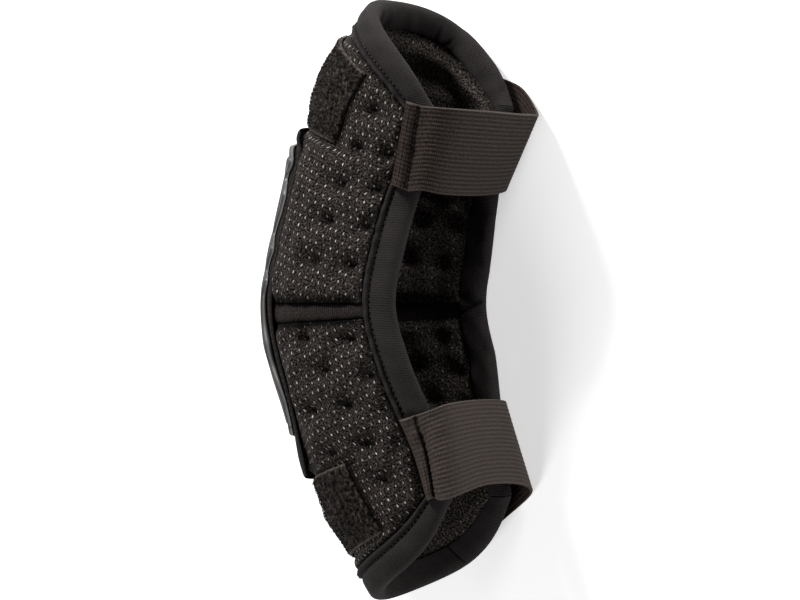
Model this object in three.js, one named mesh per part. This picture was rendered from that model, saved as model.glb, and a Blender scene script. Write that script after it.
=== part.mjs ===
// Elbow guard: padded U channel for a bent arm, bound edges, hard elbow shell, two front straps.
// All sizes in mm. The guard lies on its far side. X runs toward the upper arm, the open front
// faces -Y, the near side is up.
import * as THREE from 'three';

// Overall sizes
const LENGTH = 288;        // hem to hem along the arm
const DEPTH = 86.5;        // back of the elbow to the front edges
const WIDTH = 94;          // across the elbow
const ROUNDNESS = 0.55;    // share of a section's depth taken by its rounded back
const BOW_SKEW = 1.3;      // pushes each section's bow toward the front

// Wall sizes
const GAP = 0.3;           // left between neighbouring pieces
const PAD = 7.0;           // padded wall
const TONGUE = 2.0;        // pressed edge of the wall inside the binding
const TONGUE_DROP = 2.5;   // depth of that pressed edge below the outer face
const QUILT_DEPTH = 1.6;   // stitched dimples on the outer face
const LINER_DIMPLE = 0.5;  // the same dimples on the inner face
const EDGE_ROUND = 0.4;    // the outer face drops this much beside the binding
const FLEX_PULL = 0.9;     // both faces are pulled in this much along the flex band
const SHOULDER_STEP = 0.3; // width of the steps beside the binding
const BODY_INSET = 3.4;    // the full wall starts this far inside the binding
const FLEX_DROP = 1.6;     // the flex band lies this deep
const FLEX_SWELL = 0.5;    // it stands this much higher along its middle
const FLEX = 3.0;          // flex band thickness

// Binding sizes
const TAPE = 11.3;         // tape width on the outer face
const SEAM_ROLL = 4.0;     // rolled seam beside the tape
const ROLL_CORNER = 1.2;   // rounding of the roll
const TAPE_CORNER = 1.4;   // rounding of the tape beside the stitched groove
const TAPE_INNER = 12;     // tape width on the inner face
const TAPE_PROUD = 1.1;    // how far the tape stands over the pad face
const GROOVE = 0.7;        // depth of the stitched groove below the pad face
const ROLL_DROP = 0.9;     // the roll's outer foot lies this deep
const LIP = 2.0;           // cloth in front of the pressed edge of the wall
const LIP_CORNER = 1.6;    // rounding of the lip
const INNER_PROUD = 0.9;   // how far the tape stands over the inner face

// Back pieces
const BACKING = 0.9;
const SHELL = 2.1;
const SHELL_CROWN = 0.4;   // the shell is this much higher in its middle
const LOOP = 1.8;          // fuzzy strip thickness
const HOOK = 1.2;          // hook tab thickness

// Straps
const STRAP = 1.6;         // webbing thickness
const STRAP_FOLD = 6.7;    // doubled and stitched end
const FOLD_STEP = 0.5;     // run from the doubled end down to the single strap

// The floor under the far side: its distance at the elbow, and its slope along the arm
const FLOOR = 46;
const FLOOR_SLOPE = 0.0235;
const PRESS_ROUND = 2;     // over the straps the wall rounds into its pressed flat over this height
const PRESS_EDGE = 0.3;    // and over this height where it lies on the floor itself
const FAR_LEAN = 1.6;      // the pressed far wing reaches this much further forward
const FAR_RISE = 1.8;      // and its hems this much further along the arm

// Sections of the channel, wrist hem to upper hem, seen from the side.
// Shares of DEPTH: backOut, edgeOut. Shares of LENGTH: backAlong, edgeAlong, bow.
// Shares of WIDTH: half (at the widest), edgeHalf (at the front edge).
const SECTION_COLUMNS = ['backOut', 'backAlong', 'edgeOut', 'edgeAlong', 'half', 'edgeHalf', 'bow'];
const SECTION_ROWS = [
  [0.112, -0.493, 0.716, -0.307, 0.342, 0.332, -0.0295],
  [-0.232, -0.342, 0.670, -0.219, 0.415, 0.325, -0.0156],
  [-0.423, -0.166, 0.534, -0.096, 0.480, 0.460, -0.0035],
  [-0.546, 0, 0.455, 0.001, 0.500, 0.495, 0],
  [-0.449, 0.160, 0.511, 0.101, 0.496, 0.461, 0.009],
  [-0.245, 0.358, 0.600, 0.203, 0.471, 0.406, 0.0170],
  [0.140, 0.510, 0.686, 0.311, 0.490, 0.398, 0.0145],
];
const SECTIONS = SECTION_ROWS.map((row) => (
  Object.fromEntries(SECTION_COLUMNS.map((name, k) => [name, row[k]]))
));
const ARC_STEPS = 60;      // steps round a section's back
const WING_STEPS = 40;     // and along its straight wing

// Where the straps and strips lie under the far wall, as shares along the arm, with the run-in
// and run-out of the wall's lift, and where the tape's own lift starts round the back
const COVERED = {
  upper: { start: 0.70, full: 0.765, leave: 0.985, end: 1.06 },
  lower: { start: -0.02, full: 0.03, leave: 0.228, end: 0.31 },
  tape: { start: 0.78, full: 0.86 },
};

// Quilting: shares along the arm (0 wrist hem, 1 upper hem) and round the back (0 back, 1 edge)
const UPPER_ROWS = [0.55, 0.59, 0.63, 0.67, 0.71, 0.75, 0.79, 0.83, 0.87];
const LOWER_ROWS = [0.4305, 0.394, 0.357, 0.3205, 0.284, 0.2475, 0.211, 0.1745, 0.138];
const QUILT_COLUMNS = [0.10, 0.195, 0.29, 0.385, 0.48, 0.575, 0.67, 0.765];
const FLEX_LOW = 0.457;
const FLEX_HIGH = 0.507;

// Half width of the shell, and of its backing, as shares round the back
const SHELL_EDGE = [
  { along: 0.283, half: 0.17 }, { along: 0.292, half: 0.24 }, { along: 0.330, half: 0.278 },
  { along: 0.367, half: 0.268 }, { along: 0.400, half: 0.240 }, { along: 0.433, half: 0.262 },
  { along: 0.467, half: 0.236 }, { along: 0.515, half: 0.242 }, { along: 0.542, half: 0.300 },
  { along: 0.563, half: 0.245 }, { along: 0.600, half: 0.318 }, { along: 0.629, half: 0.240 },
  { along: 0.660, half: 0.300 }, { along: 0.692, half: 0.312 }, { along: 0.717, half: 0.240 },
  { along: 0.734, half: 0.316 }, { along: 0.748, half: 0.285 }, { along: 0.757, half: 0.18 },
];
const BACKING_EDGE = [
  { along: 0.219, half: 0.24 }, { along: 0.228, half: 0.296 }, { along: 0.250, half: 0.302 },
  { along: 0.278, half: 0.290 }, { along: 0.320, half: 0.314 }, { along: 0.370, half: 0.325 },
  { along: 0.430, half: 0.320 }, { along: 0.500, half: 0.335 }, { along: 0.575, half: 0.363 },
  { along: 0.655, half: 0.357 }, { along: 0.720, half: 0.362 }, { along: 0.750, half: 0.352 },
  { along: 0.770, half: 0.320 }, { along: 0.778, half: 0.25 },
];

// Fuzzy strips, and the hook tabs pressed on them: shares along the arm and round the back
const LOOP_STRIPS = {
  upper: { low: 0.787, high: 0.926, nearEnd: 0.570, farEnd: -0.62 },
  lower: { low: 0.078, high: 0.213, nearEnd: 0.540, farEnd: -0.62 },
};
const HOOK_TAB = { nearEnd: -0.47, farEnd: -0.60 };
const LINE_CLEAR = 0.008;  // a grid line this close to a strip's end is left out

// Straps as stations from the stitched near end to the hidden far end.
// "on" stations lie on the wall: around, low and high rims as shares along the arm.
// "free" stations: out (share of DEPTH), near (share of WIDTH), low and high rims (shares of LENGTH),
// lowOut is added to out at the low rim.
const NEAR = 1;
const FAR = -1;
const STRAPS = {
  upper: [
    { on: NEAR, around: 0.8675, low: 0.770, high: 0.955, turn: -0.0285 },
    { on: NEAR, around: 0.9265, low: 0.787, high: 0.972, turn: -0.0265 },
    { out: 0.712, near: 0.430, low: 0.1920, high: 0.3190, lowOut: -0.105 },
    { out: 0.775, near: 0.335, low: 0.1870, high: 0.3175, lowOut: -0.115 },
    { out: 0.806, near: 0.120, low: 0.1815, high: 0.3160, lowOut: -0.122 },
    { out: 0.812, near: -0.120, low: 0.1825, high: 0.3155, lowOut: -0.135 },
    { out: 0.808, near: -0.330, low: 0.1885, high: 0.3165, lowOut: -0.160 },
    { out: 0.790, near: -0.436, low: 0.1980, high: 0.3210, lowOut: -0.185 },
    { out: 0.676, near: -0.482, low: 0.2180, high: 0.3620, lowOut: -0.120 },
    { on: FAR, around: 0.760, low: 0.772, high: 0.982, turn: 0 },
    { on: FAR, around: 0.620, low: 0.775, high: 0.960, turn: 0 },
    { on: FAR, around: 0.460, low: 0.778, high: 0.943, turn: 0 },
  ],
  lower: [
    { on: NEAR, around: 0.8595, low: 0.066, high: 0.243, turn: 0.0105 },
    { on: NEAR, around: 0.9150, low: 0.052, high: 0.240, turn: 0.013 },
    { out: 0.640, near: 0.405, low: -0.3140, high: -0.1700, lowOut: 0.085 },
    { out: 0.690, near: 0.330, low: -0.3060, high: -0.1600, lowOut: 0.080 },
    { out: 0.700, near: 0.120, low: -0.2945, high: -0.1560, lowOut: 0.075 },
    { out: 0.688, near: -0.120, low: -0.2920, high: -0.1560, lowOut: 0.095 },
    { out: 0.655, near: -0.320, low: -0.2985, high: -0.1600, lowOut: 0.132 },
    { out: 0.595, near: -0.412, low: -0.3115, high: -0.1660, lowOut: 0.168 },
    { out: 0.515, near: -0.442, low: -0.3370, high: -0.1780, lowOut: 0.140 },
    { on: FAR, around: 0.740, low: 0.040, high: 0.222, turn: 0 },
    { on: FAR, around: 0.620, low: 0.046, high: 0.216, turn: 0 },
    { on: FAR, around: 0.460, low: 0.052, high: 0.210, turn: 0 },
  ],
};
const STRAP_STEPS = 3;     // steps from one station to the next
const RIM_CELLS = 4;       // cells across a strap

// Heights of the stacked pieces over the pad's outer face
const BACKING_LOW = 1.8 * GAP;
const BACKING_HIGH = BACKING_LOW + BACKING;
const SHELL_LOW = BACKING_HIGH + 1.8 * GAP;
const LOOP_LOW = 1.5 * GAP;
const LOOP_HIGH = LOOP_LOW + LOOP;
const HOOK_LOW = LOOP_HIGH + GAP;
const HOOK_HIGH = HOOK_LOW + HOOK;
const ON_TAPE = TAPE_PROUD + 2 * GAP;
const STRAP_LOW = Math.max(HOOK_HIGH + 1.3 * GAP, ON_TAPE);
const STACK = STRAP_LOW + STRAP;

// The channel's outer face

function smoothAt(values, x) {
  const last = values.length - 1;
  const i = Math.min(Math.max(Math.floor(x), 0), last - 1);
  const f = x - i;
  const b = values[i];
  const c = values[i + 1];
  const a = i > 0 ? values[i - 1] : 2 * b - c;
  const d = i + 2 <= last ? values[i + 2] : 2 * c - b;
  const square = (2 * a - 5 * b + 4 * c - d) * f * f;
  const cube = (3 * b - a - 3 * c + d) * f * f * f;
  return 0.5 * (2 * b + (c - a) * f + square + cube);
}

const sectionCache = new Map();
function sectionAt(along) {
  const key = along.toFixed(6);
  if (sectionCache.has(key)) return sectionCache.get(key);
  const x = along * (SECTIONS.length - 1);
  const pick = (name, size) => smoothAt(SECTIONS.map((row) => row[name]), x) * size;
  const back = [pick('backOut', DEPTH), pick('backAlong', LENGTH)];
  const edge = [pick('edgeOut', DEPTH), pick('edgeAlong', LENGTH)];
  const half = pick('half', WIDTH);
  const edgeHalf = pick('edgeHalf', WIDTH);
  const bow = pick('bow', LENGTH);
  const run = Math.hypot(edge[0] - back[0], edge[1] - back[1]);
  const dir = [(edge[0] - back[0]) / run, (edge[1] - back[1]) / run];
  const round = ROUNDNESS * run;
  const depths = [];
  const widths = [];
  for (let k = 0; k <= ARC_STEPS; k += 1) {
    const angle = (Math.PI / 2) * (k / ARC_STEPS);
    depths.push(round - round * Math.cos(angle));
    widths.push(half * Math.sin(angle));
  }
  for (let k = 1; k <= WING_STEPS; k += 1) {
    const f = k / WING_STEPS;
    depths.push(round + (run - round) * f);
    widths.push(half - (half - edgeHalf) * f * f);
  }
  const girth = [0];
  for (let k = 1; k < depths.length; k += 1) {
    girth.push(girth[k - 1] + Math.hypot(depths[k] - depths[k - 1], widths[k] - widths[k - 1]));
  }
  const made = { back, dir, bow, run, depths, widths, girth, halfGirth: girth[girth.length - 1] };
  sectionCache.set(key, made);
  return made;
}

function within(x, low, high) {
  return Math.min(Math.max(x, low), high);
}

function blend(x, from, to) {
  const f = within((x - from) / (to - from), 0, 1);
  return f * f * (3 - 2 * f);
}

// The greater of two heights, rounded where they meet
function roundedMax(a, b, size) {
  const near = Math.max(size - Math.abs(a - b), 0) / size;
  return Math.max(a, b) + (near * near * size) / 4;
}

// 1 where a strap lies under the far wall, 0 where none does
function strapCover(along) {
  const share = ({ start, full, leave, end }) => blend(along, start, full) * (1 - blend(along, leave, end));
  return Math.max(share(COVERED.upper), share(COVERED.lower));
}

// Thickness lying between the pad's face and the floor on the far side
function cover(along, around) {
  const tape = TAPE_PROUD * blend(-around, COVERED.tape.start, COVERED.tape.full);
  return tape + (STACK - tape) * strapCover(along);
}

function faceAt(along, around) {
  const row = sectionAt(along);
  const want = Math.abs(around) * row.halfGirth;
  let k = 1;
  while (k < row.girth.length - 1 && row.girth[k] < want) k += 1;
  const f = (want - row.girth[k - 1]) / (row.girth[k] - row.girth[k - 1]);
  const depth = row.depths[k - 1] + (row.depths[k] - row.depths[k - 1]) * f;
  const width = row.widths[k - 1] + (row.widths[k] - row.widths[k - 1]) * f;
  const lift = row.bow * Math.sin(Math.PI * within(depth / row.run, 0, 1) ** BOW_SKEW);
  const far = Math.max(-around, 0);
  const lean = FAR_LEAN * far * far * Math.sin(Math.PI * within(along, 0, 1));
  const rise = FAR_RISE * Math.sin(Math.PI * within(far, 0, 1)) * (2 * along - 1) ** 3;
  const out = row.back[0] + row.dir[0] * depth - row.dir[1] * lift + lean;
  const up = row.back[1] + row.dir[1] * depth + row.dir[0] * lift + rise;
  const floor = -(FLOOR + FLOOR_SLOPE * up - cover(along, around));
  const press = PRESS_EDGE + (PRESS_ROUND - PRESS_EDGE) * strapCover(along);
  return new THREE.Vector3(out, up, roundedMax(Math.sign(around) * width, floor, press));
}

const STEP_ALONG = 0.004;
const STEP_AROUND = 0.012;
function outward(along, around) {
  const a = faceAt(along + STEP_ALONG, around).sub(faceAt(along - STEP_ALONG, around));
  const b = faceAt(along, around + STEP_AROUND).sub(faceAt(along, around - STEP_AROUND));
  return b.cross(a).normalize();
}

function over(along, around, height) {
  return faceAt(along, around).addScaledVector(outward(along, around), height);
}

// How many mm one whole share along the arm is worth, at this place
function alongScale(along, around) {
  const inner = within(along, STEP_ALONG, 1 - STEP_ALONG);
  const span = faceAt(inner + STEP_ALONG, around).distanceTo(faceAt(inner - STEP_ALONG, around));
  return span / (2 * STEP_ALONG);
}

// A place given by shares plus mm offsets
function place(row, column) {
  let along = row.share;
  let around = column.share + (column.mm || 0) / sectionAt(along).halfGirth;
  if (row.mm) along += row.mm / alongScale(row.share, around);
  around = column.share + (column.mm || 0) / sectionAt(along).halfGirth;
  return [along, around];
}

// Closed solids

function solid(name, colour, points, faces) {
  const geometry = new THREE.BufferGeometry();
  const flat = new Float32Array(points.flatMap((v) => [v.x, v.y, v.z]));
  geometry.setAttribute('position', new THREE.BufferAttribute(flat, 3));
  let volume = 0;
  for (const [a, b, c] of faces) volume += points[a].dot(points[b].clone().cross(points[c]));
  const index = faces.flatMap(([a, b, c]) => (volume > 0 ? [a, b, c] : [a, c, b]));
  geometry.setIndex(index);
  geometry.computeVertexNormals();
  const mesh = new THREE.Mesh(geometry, new THREE.MeshStandardMaterial({ color: colour, roughness: 0.85 }));
  mesh.name = name;
  return mesh;
}

// Slab between a top grid and a bottom grid of points, both [row][column]
function slab(name, colour, top, bottom) {
  const rows = top.length;
  const columns = top[0].length;
  const points = [...top.flat(), ...bottom.flat()];
  const at = (i, j, level) => level * rows * columns + i * columns + j;
  const faces = [];
  const quad = (a, b, c, d) => {
    if (points[a].distanceTo(points[c]) <= points[b].distanceTo(points[d])) faces.push([a, b, c], [a, c, d]);
    else faces.push([a, b, d], [b, c, d]);
  };
  const endRow = rows - 1;
  const endColumn = columns - 1;
  for (let i = 0; i < endRow; i += 1) {
    for (let j = 0; j < endColumn; j += 1) {
      quad(at(i, j, 0), at(i, j + 1, 0), at(i + 1, j + 1, 0), at(i + 1, j, 0));
      quad(at(i, j, 1), at(i + 1, j, 1), at(i + 1, j + 1, 1), at(i, j + 1, 1));
    }
  }
  for (let j = 0; j < endColumn; j += 1) {
    quad(at(0, j, 0), at(0, j, 1), at(0, j + 1, 1), at(0, j + 1, 0));
    quad(at(endRow, j, 0), at(endRow, j + 1, 0), at(endRow, j + 1, 1), at(endRow, j, 1));
  }
  for (let i = 0; i < endRow; i += 1) {
    quad(at(i, 0, 0), at(i + 1, 0, 0), at(i + 1, 0, 1), at(i, 0, 1));
    quad(at(i, endColumn, 0), at(i, endColumn, 1), at(i + 1, endColumn, 1), at(i + 1, endColumn, 0));
  }
  return solid(name, colour, points, faces);
}

function grid(rows, columns, height) {
  return rows.map((row) => columns.map((column) => {
    const [along, around] = place(row, column);
    return over(along, around, height(row, column));
  }));
}

// Pads and flex band

const SHOULDER = TAPE + SEAM_ROLL + 1.5 * GAP;      // outer face rises here, out of the binding
const SHOULDER_INNER = TAPE_INNER + 2.5 * GAP;
const TONGUE_END = LIP + GAP;

function edgeSpecs() {
  return [
    { mm: SHOULDER + BODY_INSET, zone: 'body' },
    { mm: SHOULDER + SHOULDER_STEP, zone: 'shoulder' },
    { mm: SHOULDER, zone: 'outerTongue' },
    { mm: SHOULDER_INNER + SHOULDER_STEP, zone: 'outerTongue' },
    { mm: SHOULDER_INNER, zone: 'tongue' },
    { mm: TONGUE_END, zone: 'tongue' },
  ];
}

function padColumns() {
  const near = edgeSpecs().map((s) => ({ share: 1, mm: -s.mm, zone: s.zone }));
  const body = QUILT_COLUMNS.map((share, k) => ({ share, zone: 'body', stitch: k % 2 === 0 }));
  const half = [...body, ...near];
  const far = half.map((c) => ({ ...c, share: -c.share, mm: c.mm ? -c.mm : 0 })).reverse();
  return [...far, { share: 0, zone: 'body' }, ...half];
}

const RANK = { body: 0, shoulder: 1, outerTongue: 2, tongue: 3 };
function padHeights(row, column) {
  const zone = RANK[row.zone] >= RANK[column.zone] ? row.zone : column.zone;
  if (zone === 'tongue') return [-TONGUE_DROP, -TONGUE_DROP - TONGUE];
  if (zone === 'outerTongue') return [-TONGUE_DROP, -PAD + EDGE_ROUND];
  if (zone === 'shoulder') return [-EDGE_ROUND, -PAD];
  if (row.pulled) return [-FLEX_PULL, -PAD + FLEX_PULL];
  if (row.stitch && column.stitch) return [-QUILT_DEPTH, -PAD + LINER_DIMPLE];
  return [0, -PAD];
}

function padRows(shares, hem, flexShare, side) {
  const hemRows = edgeSpecs().map((s) => ({ share: hem, mm: -side * s.mm, zone: s.zone }));
  const body = shares.map((share, k) => ({ share, zone: 'body', stitch: k % 2 === 1 }));
  return [{ share: flexShare, mm: side * GAP, zone: 'body', pulled: true }, ...body, ...hemRows];
}

function padPiece(name, rows) {
  const columns = padColumns();
  const top = grid(rows, columns, (row, column) => padHeights(row, column)[0]);
  const low = grid(rows, columns, (row, column) => padHeights(row, column)[1]);
  return slab(name, '#1b1a19', top, low);
}

function flexPiece() {
  const columns = padColumns();
  const rows = [
    { share: FLEX_LOW, swell: 0 },
    { share: (FLEX_LOW + FLEX_HIGH) / 2, swell: FLEX_SWELL },
    { share: FLEX_HIGH, swell: 0 },
  ];
  const top = (r, c) => (RANK[c.zone] >= RANK.outerTongue ? -TONGUE_DROP : -FLEX_DROP + r.swell);
  const low = (r, c) => (c.zone === 'tongue' ? -TONGUE_DROP - TONGUE : -FLEX_DROP - FLEX);
  return slab('flex_band', '#1f1d1c', grid(rows, columns, top), grid(rows, columns, low));
}

// Binding

// The tape's section as pairs: outer point and slot point, each (mm in from the edge, height).
function tapePairs() {
  const slotTop = -TONGUE_DROP + 2 * GAP;
  const slotLow = -TONGUE_DROP - TONGUE - 2 * GAP;
  const slotMiddle = (slotTop + slotLow) / 2;
  const inside = -PAD - INNER_PROUD;
  const half = TAPE_PROUD / 2;
  const seam = TAPE + SEAM_ROLL;
  return [
    { outer: [seam, -ROLL_DROP], slot: [seam, slotTop] },
    { outer: [seam - ROLL_CORNER, half], slot: [seam - ROLL_CORNER, slotTop] },
    { outer: [TAPE + ROLL_CORNER, half], slot: [TAPE + ROLL_CORNER, slotTop] },
    { outer: [TAPE, -GROOVE], slot: [TAPE, slotTop] },
    { outer: [TAPE - TAPE_CORNER, half], slot: [TAPE - TAPE_CORNER, slotTop] },
    { outer: [TAPE / 2, TAPE_PROUD], slot: [TAPE / 2, slotTop] },
    { outer: [LIP_CORNER, 0], slot: [LIP, slotTop] },
    { outer: [0, slotMiddle], slot: [LIP, slotMiddle] },
    { outer: [LIP_CORNER, -PAD], slot: [LIP, slotLow] },
    { outer: [TAPE_INNER / 2, inside], slot: [TAPE_INNER / 2, slotLow] },
    { outer: [TAPE_INNER, inside + TAPE_PROUD], slot: [TAPE_INNER, slotLow] },
  ];
}

function tapePiece(name, stations, at) {
  const pairs = tapePairs();
  const ring = [...pairs.map((p) => p.outer), ...pairs.map((p) => p.slot).reverse()];
  const count = ring.length;
  const points = stations.flatMap((s) => ring.map(([mm, height]) => at(s, mm, height)));
  const faces = [];
  for (let i = 0; i < stations.length - 1; i += 1) {
    for (let k = 0; k < count; k += 1) {
      const n = (k + 1) % count;
      const a = i * count + k;
      const b = i * count + n;
      faces.push([a, b, b + count], [a, b + count, a + count]);
    }
  }
  const end = (stations.length - 1) * count;
  for (let k = 0; k < pairs.length - 1; k += 1) {
    const slot = count - 1 - k;
    faces.push([k, slot, slot - 1], [k, slot - 1, k + 1]);
    faces.push([end + k, end + slot - 1, end + slot], [end + k, end + k + 1, end + slot - 1]);
  }
  return solid(name, '#2b2829', points, faces);
}

// Both tapes have their stations on the pads' own lines, so the faces stay parallel
function hemTape(name, hem) {
  const side = hem === 1 ? 1 : -1;
  const atBinding = (c) => Math.abs(c.mm) === SHOULDER_INNER;
  const columns = padColumns().filter((c) => RANK[c.zone] <= RANK.shoulder || atBinding(c));
  const stations = [{ share: -1 }, ...columns, { share: 1 }];
  return tapePiece(name, stations, (column, mm, height) => {
    const [along, around] = place({ share: hem, mm: -side * mm }, column);
    return over(along, around, height);
  });
}

function edgeTape(name, side) {
  const inset = TAPE + SEAM_ROLL + GAP;
  const lines = [...LOWER_ROWS, FLEX_LOW, FLEX_HIGH, ...UPPER_ROWS].sort((a, b) => a - b);
  const ends = [{ share: 0, mm: inset }, { share: 1, mm: -inset }];
  const stations = [ends[0], ...lines.map((share) => ({ share })), ends[1]];
  return tapePiece(name, stations, (row, mm, height) => {
    const [along, around] = place(row, { share: side, mm: -side * mm });
    return over(along, around, height);
  });
}

// Shell, backing and fuzzy strips

function edgeTable(table, x) {
  let k = 1;
  while (k < table.length - 1 && table[k].along < x) k += 1;
  const f = (x - table[k - 1].along) / (table[k].along - table[k - 1].along);
  return table[k - 1].half + (table[k].half - table[k - 1].half) * f;
}

function backPiece(name, colour, table, rowsCount, columnsCount, low, high, crown) {
  const first = table[0].along;
  const last = table[table.length - 1].along;
  const make = (height) => {
    const lines = [];
    for (let i = 0; i <= rowsCount; i += 1) {
      const along = first + ((last - first) * i) / rowsCount;
      const half = edgeTable(table, along);
      const line = [];
      for (let j = 0; j <= columnsCount; j += 1) {
        const x = (2 * j) / columnsCount - 1;
        const rim = Math.max(Math.abs(x), Math.abs((2 * i) / rowsCount - 1));
        line.push(over(along, x * half, height + crown * (1 - rim * rim)));
      }
      lines.push(line);
    }
    return lines;
  };
  return slab(name, colour, make(high), make(low));
}

// The strips' lines are the pads' own lines between their ends, so the faces stay parallel
function stripPiece(name, colour, spec, low, high, from, to) {
  const between = (lines, a, b) => {
    const inside = lines.filter((v) => v > a + LINE_CLEAR && v < b - LINE_CLEAR);
    return [a, ...inside.sort((v, w) => v - w), b];
  };
  const rows = between([...UPPER_ROWS, ...LOWER_ROWS], spec.low, spec.high);
  const columns = between([0, ...QUILT_COLUMNS, ...QUILT_COLUMNS.map((v) => -v)], from, to);
  const make = (height) => rows.map((along) => columns.map((around) => over(along, around, height)));
  return slab(name, colour, make(high), make(low));
}

// Straps

function rimLine(station, height) {
  const line = [];
  for (let k = 0; k <= RIM_CELLS; k += 1) {
    const f = k / RIM_CELLS;
    const mix = (a, b) => a + (b - a) * f;
    if (station.on) {
      const around = mix(station.around - station.turn, station.around + station.turn);
      line.push(over(mix(station.low, station.high), station.on * around, height));
    } else {
      const out = DEPTH * (station.out + station.lowOut * (1 - f));
      line.push(new THREE.Vector3(out, LENGTH * mix(station.low, station.high), WIDTH * station.near));
    }
  }
  return line;
}

function strapPath(stations) {
  const raise = (s) => (s.on === NEAR ? ON_TAPE : STRAP_LOW);
  const lines = stations.map((s) => rimLine(s, raise(s)));
  const path = [];
  for (let i = 0; i <= (lines.length - 1) * STRAP_STEPS; i += 1) {
    const x = i / STRAP_STEPS;
    const at = Math.min(Math.floor(x), stations.length - 2);
    const [from, to] = [stations[at], stations[at + 1]];
    if (from.on && from.on === to.on) {
      const mix = (key) => from[key] + (to[key] - from[key]) * (x - at);
      const keys = ['around', 'low', 'high', 'turn'];
      const between = Object.fromEntries(keys.map((key) => [key, mix(key)]));
      path.push(rimLine({ on: from.on, ...between }, raise(from)));
    } else {
      const smooth = (k, axis) => smoothAt(lines.map((line) => line[k][axis]), x);
      path.push(lines[0].map((_, k) => new THREE.Vector3(smooth(k, 'x'), smooth(k, 'y'), smooth(k, 'z'))));
    }
  }
  return path;
}

// The stitched end is doubled: a second row close behind the first holds the step
function strapPiece(name, stations) {
  const path = strapPath(stations);
  const shifted = (mm) => path[0].map((v, k) => {
    const ahead = path[1][k].clone().sub(v).normalize();
    return v.clone().addScaledVector(ahead, mm);
  });
  const rest = path.filter((row, i) => i > 0 && row[0].distanceTo(path[0][0]) > STRAP_FOLD + 4 * FOLD_STEP);
  const inner = [path[0], shifted(STRAP_FOLD), shifted(STRAP_FOLD + FOLD_STEP), ...rest];
  const outer = inner.map((row, i) => row.map((v, k) => {
    const ahead = inner[Math.min(i + 1, inner.length - 1)][k].clone().sub(inner[Math.max(i - 1, 0)][k]);
    const across = row[Math.min(k + 1, RIM_CELLS)].clone().sub(row[Math.max(k - 1, 0)]);
    const facing = ahead.cross(across).normalize();
    return v.clone().addScaledVector(facing, i < 2 ? 2 * STRAP : STRAP);
  }));
  return slab(name, '#322a28', outer, inner);
}

// The guard

function group(name, ...pieces) {
  const made = new THREE.Group();
  made.name = name;
  made.add(...pieces);
  return made;
}

function loopStrip(name, spec) {
  return stripPiece(name, '#1a1614', spec, LOOP_LOW, LOOP_HIGH, spec.farEnd, spec.nearEnd);
}

function hookTab(name, spec) {
  return stripPiece(name, '#161413', spec, HOOK_LOW, HOOK_HIGH, HOOK_TAB.farEnd, HOOK_TAB.nearEnd);
}

const guard = group(
  'elbow_guard',
  group(
    'padded_channel',
    padPiece('upper_pad', padRows(UPPER_ROWS, 1, FLEX_HIGH, 1)),
    padPiece('lower_pad', padRows(LOWER_ROWS, 0, FLEX_LOW, -1)),
    flexPiece(),
  ),
  group(
    'edge_binding',
    hemTape('upper_hem_binding', 1),
    hemTape('lower_hem_binding', 0),
    edgeTape('near_edge_binding', 1),
    edgeTape('far_edge_binding', -1),
  ),
  group(
    'elbow_armour',
    backPiece('shell_backing', '#0d0d0e', BACKING_EDGE, 20, 8, BACKING_LOW, BACKING_HIGH, 0),
    backPiece('elbow_shell', '#2a2b2d', SHELL_EDGE, 26, 8, SHELL_LOW, SHELL_LOW + SHELL, SHELL_CROWN),
  ),
  group(
    'fastening',
    loopStrip('upper_loop_strip', LOOP_STRIPS.upper),
    loopStrip('lower_loop_strip', LOOP_STRIPS.lower),
    hookTab('upper_hook_tab', LOOP_STRIPS.upper),
    hookTab('lower_hook_tab', LOOP_STRIPS.lower),
    strapPiece('upper_strap', STRAPS.upper),
    strapPiece('lower_strap', STRAPS.lower),
  ),
);

// Wearing frame (out, along, near) to the shared frame, floor level, then onto the origin
const tilt = Math.atan(FLOOR_SLOPE);
const turn = new THREE.Matrix4().set(
  0, Math.cos(tilt), -Math.sin(tilt), 0,
  -1, 0, 0, 0,
  0, Math.sin(tilt), Math.cos(tilt), 0,
  0, 0, 0, 1,
);
const box = new THREE.Box3();
guard.traverse((node) => {
  if (!node.isMesh) return;
  node.geometry.applyMatrix4(turn);
  node.geometry.computeBoundingBox();
  box.union(node.geometry.boundingBox);
});
const centre = box.getCenter(new THREE.Vector3());
guard.traverse((node) => {
  if (node.isMesh) node.geometry.translate(-centre.x, -centre.y, -box.min.z);
});

export default guard;
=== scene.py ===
import bpy
import numpy as np
from mathutils import Matrix, Vector


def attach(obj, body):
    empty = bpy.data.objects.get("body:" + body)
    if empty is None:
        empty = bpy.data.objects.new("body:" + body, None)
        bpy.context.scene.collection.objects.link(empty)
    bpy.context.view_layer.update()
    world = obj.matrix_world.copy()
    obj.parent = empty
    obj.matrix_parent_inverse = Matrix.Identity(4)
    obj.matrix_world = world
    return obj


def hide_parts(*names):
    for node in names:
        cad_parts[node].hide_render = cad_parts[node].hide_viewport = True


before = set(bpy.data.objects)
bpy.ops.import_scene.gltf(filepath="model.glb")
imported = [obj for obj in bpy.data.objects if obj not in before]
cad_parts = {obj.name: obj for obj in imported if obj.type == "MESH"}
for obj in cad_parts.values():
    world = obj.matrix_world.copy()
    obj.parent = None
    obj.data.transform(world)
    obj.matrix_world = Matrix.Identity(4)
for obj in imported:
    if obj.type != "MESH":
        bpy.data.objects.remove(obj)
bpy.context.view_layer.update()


# The room
# A plain pale floor under large soft lamps. The camera looks down into the open front, 30 degrees
# round from the side of the arm, with the upper arm at the top of the picture.
toward_camera = Vector((-0.02035, -0.5, 0.86579)).normalized()
aim_point = Vector((0.00008, -0.00304, 0.03851))
camera_distance = 2.0
picture_right = Vector((0.99972, 0.0, 0.02349)).cross(toward_camera).normalized()
picture_up = toward_camera.cross(picture_right)


def turned_to(right, up, back, place):
    turned = Matrix((right, up, back)).transposed().to_4x4()
    turned.translation = place
    return turned


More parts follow.
